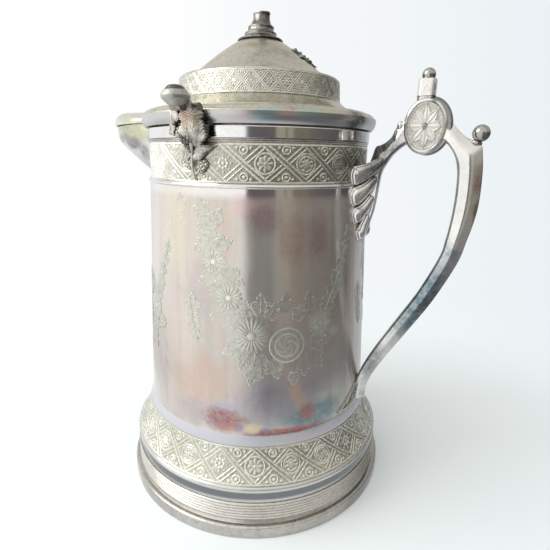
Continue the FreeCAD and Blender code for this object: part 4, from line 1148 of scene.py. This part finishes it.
# ---- chased garland
def garland(name, middle):
    """One swag of leaves and flowers around a double-ringed disc, in low relief on the drum."""
    leaves = (
        # turn from the swag's middle, z, heading of the tip, and half length
        (-43, 204, 110, 8.0), (-40, 197, 210, 7.5), (-36, 200, 60, 6.0), (-38, 188, 300, 8.0),
        (-42, 184, 200, 6.5), (-33, 186, 20, 6.0), (-29, 167, 330, 8.0), (-39, 165, 200, 6.5),
        (-35, 160, 230, 6.0), (-24, 147, 350, 8.0), (-33, 141, 170, 7.0), (-26, 141, 240, 6.0),
        (-27, 123, 210, 8.0), (-22, 117, 240, 8.0), (-16, 113, 280, 8.0), (-19, 106, 250, 6.5),
        (-10, 111, 290, 7.5), (-16, 149, 90, 7.5), (-11, 146, 60, 6.5), (-5, 150, 90, 7.0), (1, 144, 60, 6.0),
        (6, 150, 100, 6.5), (11, 124, 0, 8.5), (9, 114, 310, 8.5), (4, 110, 270, 6.5), (16, 147, 50, 7.5),
        (19, 155, 70, 7.0), (21, 164, 60, 6.0), (24, 172, 80, 5.0), (26, 180, 70, 5.0), (30, 189, 110, 5.0),
        (34, 198, 60, 5.5), (36, 207, 100, 6.0),
        (-1, 103, 270, 5.0), (-48, 146, 90, 7.5), (-47, 136, 270, 6.5), (-46, 129, 270, 5.0),
    )
    flowers = (
        # turn from the swag's middle, z, size, petals
        (-37, 175, 8.5, 15), (-30, 154, 9.0, 16), (-20, 131, 12.0, 21), (12, 136, 10.0, 17),
        (20, 128, 5.0, 9),
    )
    parts = []
    for turn, z, lean, size in leaves:
        parts.append(patch(middle + turn, z, lean, toothed_edge(size), chased_rise, body_r, 120, 12, 0.4))
    for turn, z, size, petals in flowers:
        parts.append(patch(middle + turn, z, 0, daisy_edge(size, petals), daisy_rise(0.24, petals), body_r,
                           8 * petals, 12, 0.4))

    def disc(share, angle):
        rings = line(share - 0.94, 0.05) + line(share - 0.64, 0.05)
        spray = np.abs(np.sin(2.5 * angle + 9 * share)) ** 3 * (share < 0.58) * (share > 0.1)
        return 0.16 + 0.2 * rings + 0.12 * spray
    parts.append(patch(middle - 4.2, 124.5, 0, lambda angle: np.full(len(angle), 11.4), disc, body_r,
                       120, 26, 0.5))
    stems = ([(14, 142), (20, 158), (24, 171), (27, 183)], [(-49, 152), (-48, 141), (-46, 127)])
    for stem in stems:
        spine, out = swept([(middle + turn, z, 0.1) for turn, z in stem], 60)
        parts.append(tube(spine, out, 0.5, 0.36, round_section(8), 0.1))
    make(name, joined(parts), "pitcher", chased_plate)


def sprig():
    """Small cast branch that lies on the slope of the lid's cone."""
    def cone(z):
        return np.interp(z, [Z_CONE, CONE_MIDDLE[1], Z_SEAT], [CONE_R, CONE_MIDDLE[0], FINIAL_R - 2.4])

    turn = 5.0
    count = 40
    z = np.linspace(Z_SEAT - 6.5, Z_CONE + 5.0, count)
    turns = np.radians(turn + 4 * np.sin(np.linspace(0, 3, count)))
    spine = polar(cone(z) + 0.5, turns, z)
    out = polar(1.0, turns, 1.4)
    knots = 1 + 0.35 * np.sin(np.linspace(0, 26, count))
    parts = [tube(spine, out, 3.2 * knots, 2.6 * knots, round_section(), 0.5)]
    for side, leaf_z, lean in ((-6, Z_CONE + 9.0, 200), (6, Z_CONE + 7.4, -20), (0, Z_CONE + 6.6, 270)):
        parts.append(patch(turn + side, leaf_z, lean, vine_edge(4.2), vine_rise(1.4, 0.6), cone, 80, 10, 0.8))
    replace("lid_sprig", joined(parts), dark_plate, "lid")


# ---- spout
BEAK = (
    # height, reach from the axis, half width
    (213.0, 78.0, 5.0), (217.0, 85.5, 10.5), (222.8, 96.5, 15.0), (228.0, 105.0, 17.4), (233.0, 112.4, 18.8),
    (238.1, 119.8, 19.8), (243.0, 126.6, 20.4), (246.6, 128.2, 20.7), (250.0, 128.5, 20.8),
    (262.0, 128.4, 20.8),
)
LIP_Z = 253.8            # height of the rim at the tip


def beak_point(z, angle, grow=0.0):
    """Point of the beak's skin at a height; angle runs from -90 to 90 degrees across the tip."""
    heights, reach_in, half_in = np.array(BEAK).T
    reach_out = np.interp(z, heights, reach_in) - BODY_TOP_R + grow
    half = np.interp(z, heights, half_in) + grow
    return np.stack([-BODY_TOP_R - reach_out * np.cos(angle), half * np.sin(angle), z], -1)


def lip_height(x):
    """Height of the spout's rim, which rises gently towards the lid."""
    run = 52.5           # from the lid's edge out to the tip
    away = np.clip((LID_R + run + x) / run, 0, 1)
    return LIP_Z + 2.0 * np.sin(away * np.pi / 2)


def lip(angle, grow=0.0):
    """Rim of the spout."""
    z = np.full_like(angle, LIP_Z)
    for _ in range(4):
        z = lip_height(beak_point(z, angle)[..., 0])
    return beak_point(z, angle, grow)


def spout():
    rows, columns = 44, 61
    angle = np.radians(np.linspace(-90, 90, columns))
    top_z = lip(angle)[:, 2]
    share = np.linspace(0, 1, rows)[:, None]
    z = BEAK[0][0] + (top_z[None, :] - BEAK[0][0]) * share
    bead = 0.7 * np.exp(-((1 - share) / 0.03) ** 2)
    outer = beak_point(z, angle[None, :] + 0 * share)
    outer[..., 0] -= bead * np.cos(angle)
    outer[..., 1] += bead * np.sin(angle)
    inner = beak_point(z, angle[None, :] + 0 * share, -1.4)
    ring = np.concatenate([outer, inner[:, ::-1]], 1)
    points = ring.reshape(-1, 3)
    around = 2 * columns
    faces = grid_faces(rows, around, False, True) + [list(range(around))]
    faces += seam((rows - 1) * around, columns)
    replace("spout", (points, faces, np.full(len(points), 0.5)), spout_plate)


def spout_flap():
    """Domed cover that overhangs the lip and runs back to its hinge beside the lid."""
    hinge_low, hinge_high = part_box("spout_flap_pin")
    hinge = (hinge_low + hinge_high) / 2 / MM
    rows, columns = 26, 61
    angle = np.radians(np.linspace(-84, 84, columns))
    edge = lip(angle, 1.2)
    edge[:, 0] -= 1.4 * np.cos(angle) ** 2
    edge[:, 2] += 0.4 + 0.9 * np.cos(angle) ** 2
    root = np.stack([np.full(columns, hinge.x - 1.0), np.linspace(-16, 16, columns),
                     np.full(columns, hinge.z - 0.4)], 1)
    layers = []
    for drop_by in (0.0, 1.1):
        share = (np.linspace(0, 1, rows) ** 2)[:, None, None]
        dome = (1 - (1 - np.minimum(share / 0.36, 1)) ** 3.2) ** 0.42
        skin = edge[None] * (1 - share) + root[None] * share
        crest = hinge.z - 0.6 - 0.012 * skin[..., 1:2] ** 2
        skin[..., 2:3] = edge[None, :, 2:3] * (1 - dome) + crest * dome - drop_by * np.minimum(1, 6 * share)
        skin[..., 0:1] += drop_by * (1 - share)
        layers.append(skin)
    upper, under = layers
    ring = np.concatenate([upper, under[:, ::-1]], 1)
    points = ring.reshape(-1, 3)
    around = 2 * columns
    faces = grid_faces(rows, around, False, True)
    faces += seam(0, columns) + seam((rows - 1) * around, columns)
    knuckle = spin(outline((0, -7), (2.2, -7), (2.2, 7), (0, 7)), 32, solid=True)
    lay = Matrix.Translation((hinge.x, 0, hinge.z)) @ Matrix.Rotation(math.pi / 2, 4, "X")
    parts = [(points, faces, np.full(len(points), 0.5)), put(knuckle, lay)]
    replace("spout_flap", joined(parts), flap_plate, "flap")


foot()
drum()
bands()
lid()
spout()
spout_flap()
finial()
thumb_knob()
handle()
medallion(-1, "medallion_near")
medallion(1, "medallion_far")
handle_trim()
root_leaf()
foot_plate_piece()
ornament()
grapes()
sprig()
for swag_name, swag_turn in (("garland_front", -45), ("garland_left", -135), ("garland_right", 45),
                             ("garland_back", 135)):
    garland(swag_name, swag_turn)

FINISHES = {
    "base_plate": foot_plate, "inner_liner": inner_plate, "ice_guard": inner_plate,
    "spout_flap_pin": pin_steel,
    "hinge_bracket": dark_plate, "lid_hinge_pin": pin_steel, "lid_hinge_lug": dark_plate,
    "lid_lining": inner_plate, "finial_washer": inner_plate, "finial_nut": pin_steel,
}
for node_name, finish in FINISHES.items():
    cad_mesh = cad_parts[node_name].data
    for index in range(len(cad_mesh.materials)):
        cad_mesh.materials[index] = finish


# ---- floor, light and camera
def floor():
    rings, columns, radius = 24, 96, 900.0
    points = [(radius * ring / rings * math.cos(2 * math.pi * column / columns),
               radius * ring / rings * math.sin(2 * math.pi * column / columns), -0.02)
              for ring in range(1, rings + 1) for column in range(columns)]
    faces = grid_faces(rings, columns, False, True) + [list(range(columns))]
    mesh = bpy.data.meshes.new("floor")
    mesh.from_pydata((np.array(points) * MM).tolist(), [], faces)
    piece = bpy.data.objects.new("floor", mesh)
    bpy.context.scene.collection.objects.link(piece)
    material = bpy.data.materials.new("floor")
    material.use_nodes = True
    tree = material.node_tree
    tree.nodes.clear()
    place = node(tree, "TexCoord").outputs["Object"]
    away = node(tree, "VectorMath", {0: place}, operation="LENGTH").outputs["Value"]
    mirrored = node(tree, "LightPath").outputs["Is Glossy Ray"]
    fade = sums(tree, "MAXIMUM", span(tree, away, 0.2, 0.55),
                sums(tree, "MULTIPLY", span(tree, away, 0.15, 0.26), mirrored))
    tint = ramp(tree, noise(tree, 3.0), [(0.3, (0.83, 0.89, 0.93)), (0.7, (0.86, 0.92, 0.96))])
    paper = node(tree, "BsdfDiffuse", {"Color": tint}).outputs[0]
    clear = node(tree, "BsdfTransparent").outputs[0]
    shown = node(tree, "MixShader", {0: fade, 1: paper, 2: clear}).outputs[0]
    node(tree, "OutputMaterial", {0: shown})
    mesh.materials.append(material)


def surroundings():
    """Panorama that the metal reflects, and a plain pale backdrop for the camera."""
    world = bpy.data.worlds.new("studio")
    bpy.context.scene.world = world
    world.use_nodes = True
    tree = world.node_tree
    tree.nodes.clear()
    ray = node(tree, "TexCoord").outputs["Generated"]
    side = math.radians(CAMERA_SIDE)
    front = (math.cos(side), math.sin(side), 0.0)
    right = (-math.sin(side), math.cos(side), 0.0)
    ahead = node(tree, "VectorMath", {0: ray, 1: front}, operation="DOT_PRODUCT").outputs["Value"]
    aside = node(tree, "VectorMath", {0: ray, 1: right}, operation="DOT_PRODUCT").outputs["Value"]
    height = node(tree, "SeparateXYZ", {0: ray}).outputs[2]
    turn = sums(tree, "ARCTAN2", aside, ahead)
    share = sums(tree, "ADD", sums(tree, "DIVIDE", turn, 2 * math.pi), 0.5)

    def at(degrees):
        return 0.5 + degrees / 360.0

    level = ramp(tree, share, [
        (at(-180), (0.45, 0.47, 0.50)), (at(-130), (0.85, 0.87, 0.88)), (at(-60), (0.97, 0.95, 0.90)),
        (at(-14), (0.90, 0.92, 0.92)), (at(-11), (0.11, 0.10, 0.105)),
        (at(15), (0.12, 0.10, 0.10)), (at(16), (0.30, 0.28, 0.22)), (at(24), (0.30, 0.28, 0.22)),
        (at(25), (0.12, 0.11, 0.10)), (at(27), (0.30, 0.28, 0.22)), (at(32), (0.30, 0.28, 0.22)),
        (at(33), (0.17, 0.15, 0.11)), (at(48), (0.16, 0.14, 0.11)), (at(52), (0.12, 0.11, 0.105)),
        (at(105), (0.06, 0.06, 0.06)), (at(126), (0.42, 0.44, 0.47)), (at(180), (0.45, 0.47, 0.50))],
        smooth=False)
    above = ramp(tree, share, [
        (at(-180), (0.52, 0.52, 0.50)), (at(-60), (1.0, 0.98, 0.93)), (at(0), (0.78, 0.76, 0.72)),
        (at(90), (0.50, 0.48, 0.45)), (at(180), (0.52, 0.52, 0.50))], smooth=False)
    below = ramp(tree, share, [
        (at(-180), (0.45, 0.47, 0.50)), (at(-60), (0.90, 0.86, 0.82)), (at(-30), (0.80, 0.78, 0.78)),
        (at(12), (0.14, 0.13, 0.15)), (at(100), (0.12, 0.12, 0.12)), (at(126), (0.42, 0.44, 0.47)),
        (at(180), (0.45, 0.47, 0.50))])
    seen = blend(tree, span(tree, height, -0.2, -0.44), level, below)
    seen = blend(tree, span(tree, height, 0.05, 0.45), seen, above)
    across = node(tree, "SeparateXYZ", {0: node(tree, "TexCoord").outputs["Window"]}).outputs[0]
    backdrop = ramp(tree, across, [(0.25, (1.0, 1.0, 1.0)), (0.6, (0.90, 0.93, 0.945)),
                                   (1.0, (0.84, 0.885, 0.91))])
    reflected = node(tree, "Background", {0: seen, 1: 1.4}).outputs[0]
    behind = node(tree, "Background", {0: backdrop, 1: 1.0}).outputs[0]
    camera_ray = node(tree, "LightPath").outputs["Is Camera Ray"]
    shown = node(tree, "MixShader", {0: camera_ray, 1: reflected, 2: behind}).outputs[0]
    node(tree, "OutputWorld", {0: shown})


def lamp(name, place, size, power, colour=(1, 1, 1)):
    """Square soft light aimed at the middle of the pitcher; place is in mm."""
    data = bpy.data.lights.new(name, "AREA")
    data.shape = "SQUARE"
    data.size = size * MM
    data.energy = power
    data.color = colour
    piece = bpy.data.objects.new(name, data)
    piece.location = Vector(place) * MM
    aim = Vector((0, 0, 150 * MM)) - piece.location
    piece.rotation_euler = aim.to_track_quat("-Z", "Y").to_euler()
    bpy.context.scene.collection.objects.link(piece)


def camera():
    """The viewer stands 310 mm from the axis, a little below the mouth, and looks down 16 degrees."""
    distance, height, pan, pitch, roll, lens = 310.0, 234.9, -2.31, 15.9, 1.02, 27.48
    side = math.radians(CAMERA_SIDE)
    heading = math.radians(CAMERA_SIDE + 180 + pan)
    down = math.radians(pitch)
    ahead = Vector((math.cos(down) * math.cos(heading), math.cos(down) * math.sin(heading), -math.sin(down)))
    right = Vector((math.sin(heading), -math.cos(heading), 0))
    up = right.cross(ahead)
    tilt = math.radians(roll)
    axis_x = right * math.cos(tilt) + up * math.sin(tilt)
    axis_y = up * math.cos(tilt) - right * math.sin(tilt)
    data = bpy.data.cameras.new("camera")
    data.lens = lens
    data.sensor_width = 36.0
    data.clip_start = 0.01
    piece = bpy.data.objects.new("camera", data)
    turned = Matrix((axis_x, axis_y, -ahead)).transposed().to_4x4()
    place = Vector((distance * math.cos(side), distance * math.sin(side), height)) * MM
    piece.matrix_world = Matrix.Translation(place) @ turned
    bpy.context.scene.collection.objects.link(piece)
    bpy.context.scene.camera = piece


floor()
surroundings()
lamp("window_light", (-600, -500, 800), 600, 4.5, (1.0, 0.99, 0.97))
camera()
bpy.context.scene.view_settings.view_transform = "Standard"
